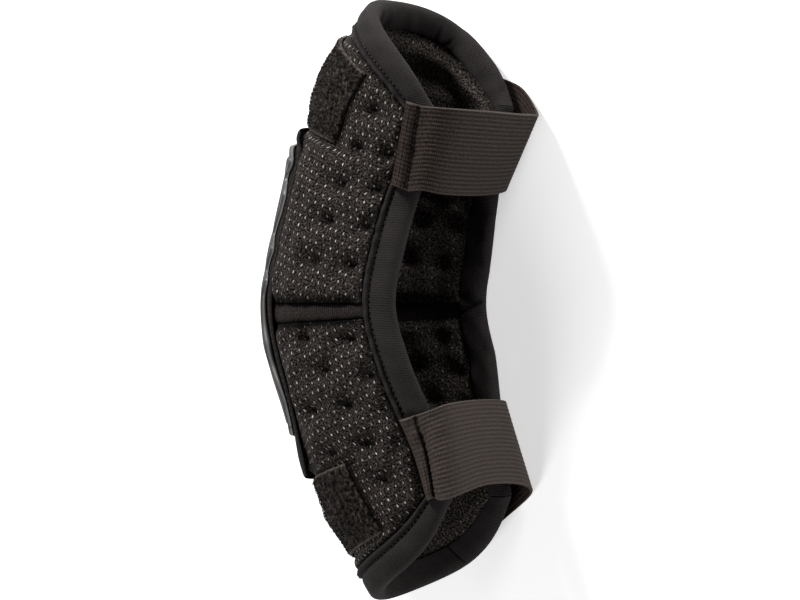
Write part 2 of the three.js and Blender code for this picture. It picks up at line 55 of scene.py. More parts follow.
lens = bpy.data.cameras.new("photo_camera")
lens.sensor_width = 36.0
lens.lens = 188.0
camera = bpy.data.objects.new("photo_camera", lens)
camera.matrix_world = turned_to(
    picture_right, picture_up, toward_camera, aim_point + toward_camera * camera_distance
)
bpy.context.scene.collection.objects.link(camera)
bpy.context.scene.camera = camera
bpy.context.scene.view_settings.view_transform = "Standard"


def linear(hex_colour):
    shares = [int(hex_colour[i : i + 2], 16) / 255 for i in (1, 3, 5)]
    return (*(s / 12.92 if s <= 0.04045 else ((s + 0.055) / 1.055) ** 2.4 for s in shares), 1.0)


def add_node(tree, kind, inputs=None, stops=(), **settings):
    """A node with its settings, its values or links, and the stops of its colour ramp if it has one."""
    made = tree.nodes.new(kind)
    for name, value in settings.items():
        setattr(made, name, value)
    for place, (position, colour) in enumerate(stops):
        made.color_ramp.elements[place].position = position
        made.color_ramp.elements[place].color = linear(colour)
    for socket, value in (inputs or {}).items():
        if isinstance(value, bpy.types.NodeSocket):
            tree.links.new(value, made.inputs[socket])
        else:
            made.inputs[socket].default_value = value
    return made


lamp_distance = 1.2


def soft_lamp(name, across, above, near, size, power):
    """A lamp toward the picture's right, up and camera by these shares, its size in m and power in W."""
    light = bpy.data.lights.new(name, "AREA")
    light.shape = "DISK"
    light.size = size
    light.energy = power
    back = (picture_right * across + picture_up * above + toward_camera * near).normalized()
    side = back.orthogonal().normalized()
    lamp = bpy.data.objects.new(name, light)
    lamp.matrix_world = turned_to(side, back.cross(side), back, aim_point + back * lamp_distance)
    bpy.context.scene.collection.objects.link(lamp)


soft_lamp("key_softbox", -0.75, 0.95, 0.45, 0.26, 15.0)
soft_lamp("side_softbox", -1.2, 0.1, 0.1, 0.5, 1.2)
soft_lamp("top_softbox", 0.45, 1.1, 0.5, 0.4, 9.0)
soft_lamp("low_softbox", -0.6, -0.9, 0.7, 0.5, 5.5)

world = bpy.data.worlds.new("pale_room")
world.use_nodes = True
room_light = world.node_tree.nodes["Background"]
room_light.inputs["Color"].default_value = linear("#ffffff")
room_light.inputs["Strength"].default_value = 0.1
bpy.context.scene.world = world

floor_reach = 6.0
floor_drop = 0.0002
floor_mesh = bpy.data.meshes.new("floor")
floor_mesh.from_pydata(
    [(x * floor_reach, y * floor_reach, -floor_drop) for x, y in ((-1, -1), (1, -1), (1, 1), (-1, 1))],
    [],
    [(0, 1, 2, 3)],
)
floor_paint = bpy.data.materials.new("pale_matte_floor")
floor_paint.use_nodes = True
floor_shader = floor_paint.node_tree.nodes["Principled BSDF"]
floor_shader.inputs["Base Color"].default_value = linear("#f4f4f4")
floor_shader.inputs["Roughness"].default_value = 0.9
floor_shader.inputs["Emission Color"].default_value = linear("#ffffff")
floor_shader.inputs["Emission Strength"].default_value = 0.5
floor_mesh.materials.append(floor_paint)
floor = bpy.data.objects.new("floor", floor_mesh)
bpy.context.scene.collection.objects.link(floor)


# The padded channel
# Two quilted pads of black spacer mesh over foam wrap the arm, one each side of the elbow, and a
# thin stretch band joins them. Stitched dimples hold the layers together. All sizes are in mm.
channel_length = 288.0
channel_depth = 86.5
channel_width = 94.0
# A section is round over this share of its depth, and its bow is pushed this way toward the front
back_roundness = 0.55
bow_skew = 1.3
# The floor under the far wing, and what lies between: the tape, or a strap with its strip and tab
floor_distance = 46.0
floor_slope = 0.0235
tape_proud = 1.1
stack_height = 5.74
tape_from, tape_full = 0.78, 0.86
# The far wing is pressed: it reaches forward, its hems rise along the arm, and its foot is rounded
far_lean = 1.6
upper_far_rise, lower_far_rise = 4.2, 2.4
press_round, press_edge = 2.0, 0.3
# Both hems flare outward at the back
upper_flare, lower_flare = 2.6, 1.8
shift_to_origin = np.array((-2.4836, 10.0261, 45.9889))
# Wrist hem to upper hem: back out and along, edge out and along, half width, edge half width, bow
sections = np.array(
    [
        (0.112, -0.493, 0.716, -0.307, 0.342, 0.332, -0.0295),
        (-0.232, -0.342, 0.670, -0.219, 0.415, 0.325, -0.0156),
        (-0.423, -0.166, 0.534, -0.096, 0.480, 0.460, -0.0035),
        (-0.546, 0.0, 0.455, 0.001, 0.500, 0.495, 0.0),
        (-0.449, 0.160, 0.511, 0.101, 0.496, 0.461, 0.009),
        (-0.245, 0.358, 0.600, 0.203, 0.471, 0.406, 0.0170),
        (0.140, 0.510, 0.686, 0.311, 0.490, 0.398, 0.0145),
    ]
)
section_sizes = np.array(
    (channel_depth, channel_length) * 2 + (channel_width, channel_width, channel_length)
)


def smooth_between(rows, x):
    """Rows of values read at x, counted in rows, on a smooth curve through them."""
    padded = np.concatenate([[2 * rows[0] - rows[1]], rows, [2 * rows[-1] - rows[-2]]])
    i = int(np.clip(np.floor(x), 0, len(rows) - 2))
    f = x - i
    a, b, c, d = padded[i : i + 4]
    return 0.5 * (
        2 * b + (c - a) * f + (2 * a - 5 * b + 4 * c - d) * f**2 + (3 * b - a - 3 * c + d) * f**3
    )


def ease(x, start, end):
    f = np.clip((x - start) / (end - start), 0, 1)
    return f * f * (3 - 2 * f)


def within(along, start, full, leave, end):
    """1 from full to leave, easing in from start and out to end."""
    return ease(along, start, full) * (1 - ease(along, leave, end))


# Where the straps lie under the far wall: start, full, leave and end as shares along
strap_runs = ((0.70, 0.765, 0.985, 1.06), (-0.02, 0.03, 0.228, 0.31))


def strap_cover(along):
    """1 where a strap lies under the far wall, 0 where none does."""
    return np.maximum(*(within(along, *strap_run) for strap_run in strap_runs))


def floor_cover(along, around):
    """Thickness of what lies between the far wall's face and the floor."""
    tape = tape_proud * ease(-around, tape_from, tape_full)
    return tape + (stack_height - tape) * strap_cover(along)


# The wall's outer face on a fine grid that runs a little past its hems and edges
wall_rows = np.linspace(-0.04, 1.04, 541)
wall_columns = np.linspace(-1.04, 1.04, 521)
half_girths = np.empty(len(wall_rows))
wall_face = np.empty((len(wall_rows), len(wall_columns), 3))
tilt = np.arctan(floor_slope)
for wall_row, along in enumerate(wall_rows):
    section = smooth_between(sections, along * (len(sections) - 1)) * section_sizes
    back, edge, half, edge_half, bow = section[0:2], section[2:4], section[4], section[5], section[6]
    run = np.hypot(*(edge - back))
    forward = (edge - back) / run
    turn = np.linspace(0, np.pi / 2, 61)
    wing = np.linspace(0, 1, 41)[1:]
    rounded = back_roundness * run
    depths = np.concatenate([rounded * (1 - np.cos(turn)), rounded + (run - rounded) * wing])
    widths = np.concatenate([half * np.sin(turn), half - (half - edge_half) * wing**2])
    girths = np.concatenate([[0], np.cumsum(np.hypot(np.diff(depths), np.diff(widths)))])
    half_girths[wall_row] = girths[-1]
    want = np.abs(wall_columns) * girths[-1]
    spare = np.maximum(want - girths[-1], 0) / (girths[-1] - girths[-2])
    depth = np.interp(want, girths, depths) + spare * (depths[-1] - depths[-2])
    width = np.interp(want, girths, widths) + spare * (widths[-1] - widths[-2])
    lift = bow * np.sin(np.pi * np.clip(depth / run, 0, 1) ** bow_skew)
    far = np.maximum(-wall_columns, 0)
    lean = far_lean * far**2 * np.sin(np.pi * np.clip(along, 0, 1))
    upper_half = along > 0.5
    if upper_half:
        rise = upper_far_rise * (ease(far, 0, 0.45) + 0.25 * ease(far, 0.7, 1))
    else:
        rise = lower_far_rise * ease(far, 0, 0.7)
    rise = rise * (2 * along - 1) ** 3
    flare = (upper_flare if upper_half else lower_flare) * (1 - np.minimum(np.abs(wall_columns), 1))
    flare = flare * (2 * along - 1) ** 6
    out = back[0] + forward[0] * depth - forward[1] * lift + lean - flare
    up = back[1] + forward[1] * depth + forward[0] * lift + rise
    near = np.sign(wall_columns) * width
    lowest = -(floor_distance + floor_slope * up - floor_cover(along, wall_columns))
    press = press_edge + (press_round - press_edge) * strap_cover(along)
    touching = np.maximum(press - np.abs(near - lowest), 0) / press
    near = np.maximum(near, lowest) + touching**2 * press / 4
    wall_face[wall_row] = np.stack(
        [np.cos(tilt) * up - np.sin(tilt) * near, -out, np.sin(tilt) * up + np.cos(tilt) * near], -1
    )
wall_face += shift_to_origin


def spread(table, axis, reach):
    steps = np.arange(table.shape[axis])
    ahead = np.take(table, np.minimum(steps + reach, steps[-1]), axis)
    return ahead - np.take(table, np.maximum(steps - reach, 0), axis)


def unit(vectors):
    return vectors / np.linalg.norm(vectors, axis=-1, keepdims=True)


wall_outward = unit(np.cross(spread(wall_face, 1, 3), spread(wall_face, 0, 2)))


def read_wall(table, along, around):
    along, around = np.broadcast_arrays(along, around)
    x = (along - wall_rows[0]) / (wall_rows[1] - wall_rows[0])
    y = (around - wall_columns[0]) / (wall_columns[1] - wall_columns[0])
    i = np.clip(np.floor(x).astype(int), 0, len(wall_rows) - 2)
    j = np.clip(np.floor(y).astype(int), 0, len(wall_columns) - 2)
    f, g = (x - i)[..., None], (y - j)[..., None]
    low = table[i, j] * (1 - g) + table[i, j + 1] * g
    return low * (1 - f) + (table[i + 1, j] * (1 - g) + table[i + 1, j + 1] * g) * f


def on_wall(along, around, height=0.0):
    """Points over the wall's outer face: along is 0 at the wrist hem and 1 at the upper hem,
    around is -1 at the far front edge, 0 at the back and 1 at the near front edge."""
    outward = unit(read_wall(wall_outward, along, around))
    return read_wall(wall_face, along, around) + outward * np.asarray(height)[..., None]


def girth_at(along):
    return np.interp(along, wall_rows, half_girths)


def laid_on_floor(points):
    """Cloth is pressed flat where it would pass under the floor."""
    points[..., 2] = np.maximum(points[..., 2], 0.0)
    return points


def mm_per_share(along, around):
    step = 0.004
    inner = np.clip(along, step, 1 - step)
    ahead = read_wall(wall_face, inner + step, around)
    return np.linalg.norm(ahead - read_wall(wall_face, inner - step, around), axis=-1) / (2 * step)


def ripple(points, size, seed):
    """Smooth unevenness about 1 high, with humps about size mm apart."""
    wave_count = 10
    usual_sum = 3.2
    rng = np.random.default_rng(seed)
    total = np.zeros(points.shape[:-1])
    for _ in range(wave_count):
        direction = unit(rng.normal(size=3))
        wave = size * rng.uniform(0.7, 1.5)
        total += np.sin(points @ direction * (2 * np.pi / wave) + rng.uniform(0, 6.28))
    return total / usual_sum


def smooth_mesh(name, points, faces, flat_map=None):
    """A smooth-shaded mesh in place, from points in mm, with its cloth laid flat in its UV map in mm."""
    mesh = bpy.data.meshes.new(name)
    mesh.from_pydata((points * 0.001).tolist(), [], faces.tolist())
    mesh.polygons.foreach_set("use_smooth", np.ones(len(mesh.polygons), bool))
    if flat_map is not None:
        loops = np.empty(len(mesh.loops), int)
        mesh.loops.foreach_get("vertex_index", loops)
        mesh.uv_layers.new(name="cloth_mm").data.foreach_set("uv", flat_map[loops].ravel())
    made = bpy.data.objects.new(name, mesh)
    bpy.context.scene.collection.objects.link(made)
    return made


def slab(name, outer, inner, outer_map=None, inner_map=None, inner_material=0):
    """A closed piece between an outer and an inner grid of points, each row by row."""
    rows, columns = outer.shape[:2]
    top = np.arange(rows * columns).reshape(rows, columns)
    low = top + rows * columns

    def cells(a, b, c, d):
        return np.stack([a.ravel(), b.ravel(), c.ravel(), d.ravel()], -1)

    faces = [
        cells(top[:-1, :-1], top[:-1, 1:], top[1:, 1:], top[1:, :-1]),
        cells(low[:-1, :-1], low[1:, :-1], low[1:, 1:], low[:-1, 1:]),
        cells(top[0, :-1], low[0, :-1], low[0, 1:], top[0, 1:]),
        cells(top[-1, :-1], top[-1, 1:], low[-1, 1:], low[-1, :-1]),
        cells(top[:-1, 0], top[1:, 0], low[1:, 0], low[:-1, 0]),
        cells(top[:-1, -1], low[:-1, -1], low[1:, -1], top[1:, -1]),
    ]
    points = np.concatenate([outer.reshape(-1, 3), inner.reshape(-1, 3)])
    flat = None
    if outer_map is not None:
        inner_map = outer_map if inner_map is None else inner_map
        flat = np.concatenate([outer_map.reshape(-1, 2), inner_map.reshape(-1, 2)])
    made = smooth_mesh(name, points, np.concatenate(faces), flat)
    if inner_material:
        slots = np.zeros(len(made.data.polygons), int)
        slots[len(faces[0]) : len(faces[0]) + len(faces[1])] = inner_material
        made.data.polygons.foreach_set("material_index", slots)
    return made


def laid_flat(points, axis):
    """The mesh cloth's own plane, in mm: across the arm from the front, and along the axis."""
    axis = np.array((np.cos(np.radians(axis)), -np.sin(np.radians(axis)), 0.0))
    across = np.cross(axis, (0.0, 0.0, 1.0))
    steps = np.diff(points, axis=1)
    lengths = np.sqrt(np.maximum((steps**2).sum(-1) - (steps @ axis) ** 2, 0))
    middle = points.shape[1] // 2
    reach = np.zeros(points.shape[:2])
    reach[:, middle + 1 :] = np.cumsum(lengths[:, middle:], axis=1)
    reach[:, :middle] = -np.cumsum(lengths[:, :middle][:, ::-1], axis=1)[:, ::-1]
    start = (points[:, middle] @ across)[:, None]
    return np.stack([np.sign(reach) * start + reach, points @ axis], -1)


# The wall, and the heights of the two faces of its edge, which is pressed thin inside the binding
pad_thickness = 7.0
tongue_outer, tongue_inner = -2.5, -4.5
# In from the edge: where the outer and the inner face rise to the full wall, and where the wall ends
shoulder = 15.75
shoulder_inner = 12.6
shoulder_step = 0.3
tongue_end = 2.3
tongue_middle = 13.4
border_lines = np.array(
    (
        shoulder,
        shoulder - shoulder_step,
        tongue_middle,
        shoulder_inner + shoulder_step,
        shoulder_inner,
        tongue_end,
    )
)
# The even part of a pad's grid ends this far inside its shoulder, and its quilting is full from there
grid_margin = 0.9
quilt_run = 6.0
# The flex band's two sides as shares along, and the pads' gap to it, where they overlap it a little
flex_low, flex_high = 0.462, 0.506
flex_gap = -0.5
flex_pull_width = 2.6
# Stitched pits and the puffs between them, outside and inside, and how wide a pit and a puff are
quilt_depth, quilt_puff = 4.2, 2.1
liner_depth, liner_puff = 2.4, 1.3
pit_core, pit_skirt, puff_reach = 2.6, 5.5, 7.0
pit_shape = np.array((1.3, 0.85, 0.85))
# Stitched dimples seen on the near wall, as shares along the arm and round the back
dimples = [
    (0.800, 0.663), (0.733, 0.656), (0.754, 0.831), (0.667, 0.638), (0.675, 0.831),
    (0.588, 0.613), (0.588, 0.788), (0.433, 0.538), (0.421, 0.775), (0.367, 0.606),
    (0.333, 0.838), (0.304, 0.463), (0.296, 0.669), (0.263, 0.856), (0.233, 0.488),
    (0.229, 0.681), (0.163, 0.681), (0.875, 0.670), (0.829, 0.831), (0.198, 0.862),
]
dimple_shares = np.array([(along, side * around) for along, around in dimples for side in (1, -1)])
back_rows = (0.10, 0.165, 0.235, 0.305, 0.375, 0.43, 0.545, 0.61, 0.68, 0.75, 0.82, 0.89)
back_shares = np.array([(along, around) for along in back_rows for around in (-0.28, -0.09, 0.09, 0.28)])
through_stitches = on_wall(dimple_shares[:, 0], dimple_shares[:, 1])
liner_stitches = np.concatenate([through_stitches, on_wall(back_shares[:, 0], back_shares[:, 1])])
# Fastening strips round the back: low and high rims along, near end round the back, how far that end is cut
# back at the low rim, how bright the painted highlight on the sewn edges is, random seed
strips = {
    "upper_loop_strip": (0.787, 0.926, 0.570, 0.038, 0.25, 61),
    "lower_loop_strip": (0.078, 0.213, 0.529, -0.012, 0.42, 71),
}
# Where the strips hold the pads down, as shares along, and how far in mm. The upper strip stands off
# again toward its hem.
strip_hollows = ((0.770, 0.785, 0.928, 0.940), (0.060, 0.076, 0.215, 0.230))
upper_press, upper_stand_off, lower_press = 2.2, 3.2, 2.4
# Folds of the lining on the far side: middle along, width along, height in mm
liner_folds = ((0.932, 0.012, 1.6), (0.898, 0.011, -1.6), (0.855, 0.016, 0.8), (0.072, 0.012, 1.4))


def to_nearest(points, stitches):
    nearest = np.full(points.shape[:2], 1e9)
    for stitch in stitches:
        nearest = np.minimum(nearest, np.linalg.norm((points - stitch) * pit_shape, axis=-1))
    return nearest


def quilting(nearest, depth, puff):
    """Pits at the stitches, and soft puffs between them."""
    pits = 0.5 * np.exp(-((nearest / pit_core) ** 2)) + 0.5 * np.exp(-((nearest / pit_skirt) ** 2))
    return puff * (1 - np.exp(-((nearest / puff_reach) ** 2))) - depth * pits


def strip_area(along, around):
    """1 under the fastening strips sewn round the back, where the pad is held down, 0 elsewhere."""
    upper, lower = (within(along, *hollow) for hollow in strip_hollows)
    return (upper + lower) * within(around, -0.45, -0.25, 0.57, 0.64)


def strip_press(along, around):
    """How far those strips pull the pad in, in mm."""
    upper = (upper_press - upper_stand_off * ease(along, 0.79, 0.87)) * (along > 0.5)
    return (upper + lower_press * (along < 0.5)) * strip_area(along, around)


def mark(piece, name, values):
    """Marks the points of a piece's outer grid, which come first, for its material."""
    marks = np.zeros(len(piece.data.vertices), np.float32)
    marks[: values.size] = values.ravel()
    piece.data.attributes.new(name, "FLOAT", "POINT").data.foreach_set("value", marks)


def pad_grid(hem, flex_line, cells_along, cells_around):
    """Shares of a grid that keeps its lines parallel to the hem, the edges and the flex band."""
    spots = np.concatenate([np.linspace(0, 1, cells_along), np.ones(len(border_lines))])
    insets = np.concatenate([np.full(cells_along, shoulder + grid_margin), border_lines])
    half = np.linspace(0, 1, cells_around)[1:]
    turns = np.concatenate([half, np.ones(len(border_lines))])
    inset_turns = np.concatenate([np.full(len(half), shoulder + grid_margin), border_lines])
    turns = np.concatenate([-turns[::-1], [0], turns])
    inset_turns = np.concatenate([inset_turns[::-1], [shoulder + grid_margin], inset_turns])
    nominal = flex_line + (hem - flex_line) * spots[:, None]
    around = turns * (1 - inset_turns / girth_at(nominal))
    side = 1 if hem == 1 else -1
    for _ in range(2):
        end = hem - side * insets[:, None] / mm_per_share(float(hem), around)
        start = flex_line + side * flex_gap / mm_per_share(flex_line, around)
        along = start + (end - start) * spots[:, None]
        around = turns * (1 - inset_turns / girth_at(along))
    edge_mm = np.broadcast_to(inset_turns, around.shape) + (1 - np.abs(turns)) * girth_at(along)
    hem_mm = insets[:, None] + (1 - spots[:, None]) * np.abs(end - start) * mm_per_share(along, around)
    flex_mm = np.abs(along - flex_line) * mm_per_share(flex_line, around)
    return along, around, np.minimum(edge_mm, hem_mm), flex_mm


def pad_piece(name, hem, flex_line, axis, cells_along, cells_around):
    along, around, border, flex = pad_grid(hem, flex_line, cells_along, cells_around)
    face = on_wall(along, around)
    body = ease(border, shoulder + shoulder_step, shoulder + quilt_run)
    covered = 1 - ease(np.abs(around), 0.30, 0.40)
    pulled = np.exp(-((flex / flex_pull_width) ** 2))
    outer = np.interp(
        border,
        (tongue_end, shoulder - shoulder_step, shoulder, shoulder + 0.7, shoulder + 1.8, shoulder + 4),
        (tongue_outer, tongue_outer, -1.3, -0.7, -0.2, 0),
    )
    nearest = to_nearest(face, through_stitches)
    soft = quilting(nearest, quilt_depth, quilt_puff) + 0.75 * ripple(face, 13, 3) + 0.1 * ripple(face, 5, 4)
    held = np.maximum(covered, strip_area(along, around))
    outer = outer + body * (soft * (1 - held) - 0.3 * held) - 1.9 * pulled * body
    outer = outer - body * strip_press(along, around)
    inner = np.interp(
        border,
        (tongue_end, shoulder_inner, shoulder_inner + shoulder_step, shoulder_inner + 1.6, shoulder + 4),
        (tongue_inner, tongue_inner, -6.2, -6.9, -pad_thickness),
    )
    lined = ease(border, shoulder_inner + 0.5, shoulder_inner + quilt_run)
    inside = quilting(to_nearest(face, liner_stitches), liner_depth, liner_puff) + 0.4 * ripple(face, 13, 7)
    for middle, width, bulge in liner_folds:
        inside = inside + bulge * np.exp(-(((along - middle) / width) ** 2)) * ease(-around, 0.1, 0.35)
    inner = inner - lined * inside + 2.2 * pulled * lined
    made = slab(
        name,
        laid_on_floor(on_wall(along, around, outer)),
        on_wall(along, around, np.minimum(inner, outer - 1.4)),
        laid_flat(face, axis),
        inner_material=1,
    )
    # Painted shade in the cloth's colour: dark pits at the stitches, a shadow beside each strip's near end,
    # and dark lines under the binding's seam and along the flex band.
    low, high, near_end, cut_back, _, _ = strips["upper_loop_strip" if hem else "lower_loop_strip"]
    cut_end = near_end - cut_back * (high - along) / (high - low)
    beside = (around - cut_end) * girth_at(along) - 0.8
    tucked_in = ease(along, low - 0.004, low + 0.004) * (1 - ease(along, high - 0.004, high + 0.004))
    strip_shadow = 0.85 * np.exp(-((beside / 1.6) ** 2)) * tucked_in
    pit_shade = np.maximum(0.8 * np.exp(-((nearest / 2.9) ** 2)) * (1 - covered), strip_shadow)
    seam_shade = 0.85 * np.exp(-(((border - shoulder) / 0.9) ** 2))
    mark(made, "painted_shade", np.maximum(np.maximum(pit_shade, seam_shade), 0.95 * pulled * body))
    return made


def cloth_material(name):
    """A node material with the cloth map's two directions in mm, and the shader to finish."""
    made = bpy.data.materials.new(name)
    made.use_nodes = True
    tree = made.node_tree
    shader = tree.nodes["Principled BSDF"]
    flat = add_node(tree, "ShaderNodeUVMap", uv_map="cloth_mm")
    return made, tree, shader, flat.outputs["UV"]


def finish_cloth(tree, shader, colour, height, strength, depth, roughness, gloss):
    """Dry cloth with a fine relief, darkened by painted shade in its creases and hollows and paled by painted
    highlight on its edges, where its mesh is marked so."""
    # The marks mix in a near black as painted shade and a pale grey as painted highlight.
    share = add_node(tree, "ShaderNodeAttribute", attribute_name="painted_shade").outputs["Fac"]
    with_painted_shade = add_node(tree, "ShaderNodeMix", {0: share, 6: colour, 7: linear("#030202")}, data_type="RGBA")
    share = add_node(tree, "ShaderNodeAttribute", attribute_name="wear_and_highlight").outputs["Fac"]
    wear_and_highlight = add_node(
        tree, "ShaderNodeMix", {0: share, 6: with_painted_shade.outputs[2], 7: linear("#7d736d")}, data_type="RGBA"
    )
    bump = add_node(tree, "ShaderNodeBump", {"Height": height, "Strength": strength, "Distance": depth})
    tree.links.new(wear_and_highlight.outputs[2], shader.inputs["Base Color"])
    tree.links.new(bump.outputs["Normal"], shader.inputs["Normal"])
    shader.inputs["Roughness"].default_value = roughness
    shader.inputs["Specular IOR Level"].default_value = gloss


# Spacer mesh: a warp-knit polyester net over foam. Rows of oval holes 3.9 mm apart and 4.3 mm from row to row
# show the pale yarn below, drawn as small painted glints whose brightness varies in patches. The knit between
# them is a matte speckle.
hole_spacing = 3.9
hole_row = 4.3


def spacer_mesh(name, yarn, glint, glint_strength):
    made, tree, shader, flat = cloth_material(name)
    drift = add_node(tree, "ShaderNodeTexNoise", {"Vector": flat, "Scale": 0.22, "Detail": 1.0})
    moved = add_node(
        tree, "ShaderNodeVectorMath", {0: drift.outputs["Color"], 1: (1.5, 1.5, 0.0)}, operation="MULTIPLY"
    )
    placed = add_node(tree, "ShaderNodeVectorMath", {0: flat, 1: moved.outputs[0]}, operation="ADD")
    parts = add_node(tree, "ShaderNodeSeparateXYZ", {0: placed.outputs[0]})
    waves = []
    for direction, pitch in (("X", hole_spacing), ("Y", 2 * hole_row)):
        angle = add_node(
            tree, "ShaderNodeMath", {0: parts.outputs[direction], 1: 2 * np.pi / pitch}, operation="MULTIPLY"
        )
        waves.append(add_node(tree, "ShaderNodeMath", {0: angle.outputs[0]}, operation="COSINE"))
    lattice = add_node(
        tree, "ShaderNodeMath", {0: waves[0].outputs[0], 1: waves[1].outputs[0]}, operation="MULTIPLY"
    )
    hole, core = (
        add_node(
            tree,
            "ShaderNodeMapRange",
            {"Value": lattice.outputs[0], "From Min": start, "From Max": full},
            interpolation_type="SMOOTHSTEP",
        )
        for start, full in ((0.5, 0.85), (0.82, 0.97))
    )
    patchy = add_node(tree, "ShaderNodeTexNoise", {"Vector": flat, "Scale": 0.33, "Detail": 3.0})
    lit = add_node(
        tree,
        "ShaderNodeMapRange",
        {"Value": patchy.outputs["Fac"], "From Min": 0.38, "From Max": 0.66, "To Min": 0.15},
    )
    glow = add_node(tree, "ShaderNodeMath", {0: core.outputs[0], 1: lit.outputs[0]}, operation="MULTIPLY")
    shine = add_node(tree, "ShaderNodeMath", {0: glow.outputs[0], 1: glint_strength}, operation="MULTIPLY")
    speckle = add_node(
        tree, "ShaderNodeTexNoise", {"Vector": flat, "Scale": 1.0, "Detail": 3.0, "Roughness": 0.75}
    )
    tone = add_node(
        tree, "ShaderNodeValToRGB", {"Fac": speckle.outputs["Fac"]}, stops=((0.45, "#050404"), (0.61, yarn))
    )
    glinting = add_node(
        tree,
        "ShaderNodeMix",
        {0: shine.outputs[0], 6: tone.outputs["Color"], 7: linear(glint)},
        data_type="RGBA",
    )
    relief = add_node(
        tree,
        "ShaderNodeMath",
        {0: hole.outputs[0], 1: -0.8, 2: speckle.outputs["Fac"]},
        operation="MULTIPLY_ADD",
    )
    finish_cloth(tree, shader, glinting.outputs[2], relief.outputs[0], 0.9, 0.0006, 0.85, 0.06)
    return made


outer_mesh_cloth = spacer_mesh("charcoal_spacer_mesh", "#4c4541", "#e2dcd4", 0.9)
# The liner's copy of the mesh has paler yarn, painted light for the inside of the channel that the lamps
# barely reach, and weaker painted glints.
liner_mesh_cloth = spacer_mesh("black_spacer_mesh_liner", "#57504b", "#c4bdb5", 0.4)

# Each pad: its hem and its line at the flex band as shares along, and how its cloth lies, in degrees
pad_cells_along, pad_cells_around = 122, 112
for name, hem, line, axis in (("upper_pad", 1, flex_high, 20.0), ("lower_pad", 0, flex_low, -24.0)):
    pad = pad_piece("quilted_" + name, hem, line, axis, pad_cells_along, pad_cells_around)
    pad.data.materials.append(outer_mesh_cloth)
    pad.data.materials.append(liner_mesh_cloth)
    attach(pad, "root")
    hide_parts(name)

# Stretch knit: a plain fine warp knit whose ribs run across the band, 1.1 mm apart, matte black-brown.
stretch_knit, tree, shader, flat = cloth_material("black_stretch_knit")
ribs = add_node(
    tree,
    "ShaderNodeTexWave",
    {"Vector": flat, "Scale": 0.29, "Distortion": 1.2, "Detail": 1.0},
    bands_direction="X",
)
lint = add_node(tree, "ShaderNodeTexNoise", {"Vector": flat, "Scale": 1.1, "Detail": 3.0})
mixed = add_node(
    tree,
    "ShaderNodeMath",
    {0: ribs.outputs["Fac"], 1: 0.22, 2: lint.outputs["Fac"]},
    operation="MULTIPLY_ADD",
)
tone = add_node(
    tree, "ShaderNodeValToRGB", {"Fac": mixed.outputs[0]}, stops=((0.42, "#0a0808"), (0.82, "#3a3431"))
)
finish_cloth(tree, shader, tone.outputs["Color"], mixed.outputs[0], 0.8, 0.0004, 0.9, 0.08)

# The band lies sunk between the pads and swells along its middle
band_sunk, band_swell = -2.7, 2.0
band_inner_face, band_inner_swell = -4.6, 0.3
band_rows = np.linspace(0, 1, 17)
band_columns = np.linspace(-1, 1, 241)
band_along = (flex_low + (flex_high - flex_low) * band_rows)[:, None]
band_around = band_columns * (1 - tongue_end / girth_at(band_along))
band_along = np.broadcast_to(band_along, band_around.shape)
band_border = (1 - np.abs(band_around)) * girth_at(band_along)
band_face = on_wall(band_along, band_around)
swell = np.sin(np.pi * band_rows)[:, None] ** 0.6
band_outer = band_sunk + band_swell * swell + 0.12 * ripple(band_face, 7, 11)
band_outer = np.where(band_border > shoulder - shoulder_step, band_outer, tongue_outer)
band_inner = band_inner_face - band_inner_swell * swell
band_inner = np.where(band_border > shoulder_inner, band_inner, tongue_inner)
flex_band = slab(
    "stretch_flex_band",
    on_wall(band_along, band_around, band_outer),
    on_wall(band_along, band_around, band_inner),
    np.stack([band_around * girth_at(band_along), band_along * channel_length], -1),
)
# Painted shade darkens the band's edges where it sinks between the pads.
mark(flex_band, "painted_shade", 0.9 * (1 - ease(swell, 0.45, 0.95)) + 0 * band_around)
flex_band.data.materials.append(stretch_knit)
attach(flex_band, "root")
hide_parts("flex_band")


# The edge binding
# Knit tape folded over the pads' raw edges and sewn down in a groove, with a rolled seam beside it on
# the outer face. Four lengths meet in mitres at the corners of the channel.
seam_width = 15.3
tape_inner = 12.1
lip_inset = 2.0
groove_mm = 11.95
slot_outer, slot_inner = -1.9, -5.1
mitre_gap = 0.15
# The section from the rolled seam round the lip to the inner rim: mm in from the edge, and height
tape_outer_face = [
    (seam_width, -1.6), (15.2, -0.5), (14.9, 0.4), (14.3, 0.9), (13.5, 0.95), (12.9, 0.5),
    (12.5, -0.3), (12.2, -1.15), (11.7, -1.2), (11.35, -0.5), (10.9, 0.3), (9.8, 0.85), (7.8, 1.1),
    (5.6, 1.05), (3.6, 0.8), (lip_inset, 0.2),
]
tape_lip = [(0.9, -0.7), (0.25, -2.0), (0.0, -3.5), (0.25, -5.0), (0.9, -6.4)]
tape_inner_face = [
    (lip_inset, -7.2), (3.6, -7.75), (6.0, -7.95), (9.0, -7.9), (11.0, -7.75), (11.9, -7.4),
    (tape_inner, -6.8),
]
tape_section = np.array(tape_outer_face + tape_lip + tape_inner_face)
lip_turns = np.linspace(slot_outer, slot_inner, len(tape_lip) + 2)[1:-1]
tape_slot = np.array(
    [(mm, slot_outer) for mm, _ in tape_outer_face]
    + [(lip_inset, height) for height in lip_turns]
    + [(mm, slot_inner) for mm, _ in tape_inner_face]
)
tape_ring = np.concatenate([tape_section, tape_slot[::-1]])


def tape_shares(kind, side, stations, mm):
    """Where the tape's stations lie, for each inset in mm, so that its ends are cut as mitres."""
    stations, mm = np.meshgrid(stations, mm, indexing="ij")
    cut = mm + mitre_gap
    if kind == "hem":
        around = stations * (1 - cut / girth_at(np.full_like(stations, side)))
        along = side - (1 if side else -1) * mm / mm_per_share(float(side), around)
        around = stations * (1 - cut / girth_at(along))
        return along, around
    low = cut / mm_per_share(0.0, side * (1 - mm / girth_at(0.0)))
    high = 1 - cut / mm_per_share(1.0, side * (1 - mm / girth_at(1.0)))
    along = low + (high - low) * stations
    return along, side * (1 - mm / girth_at(along))


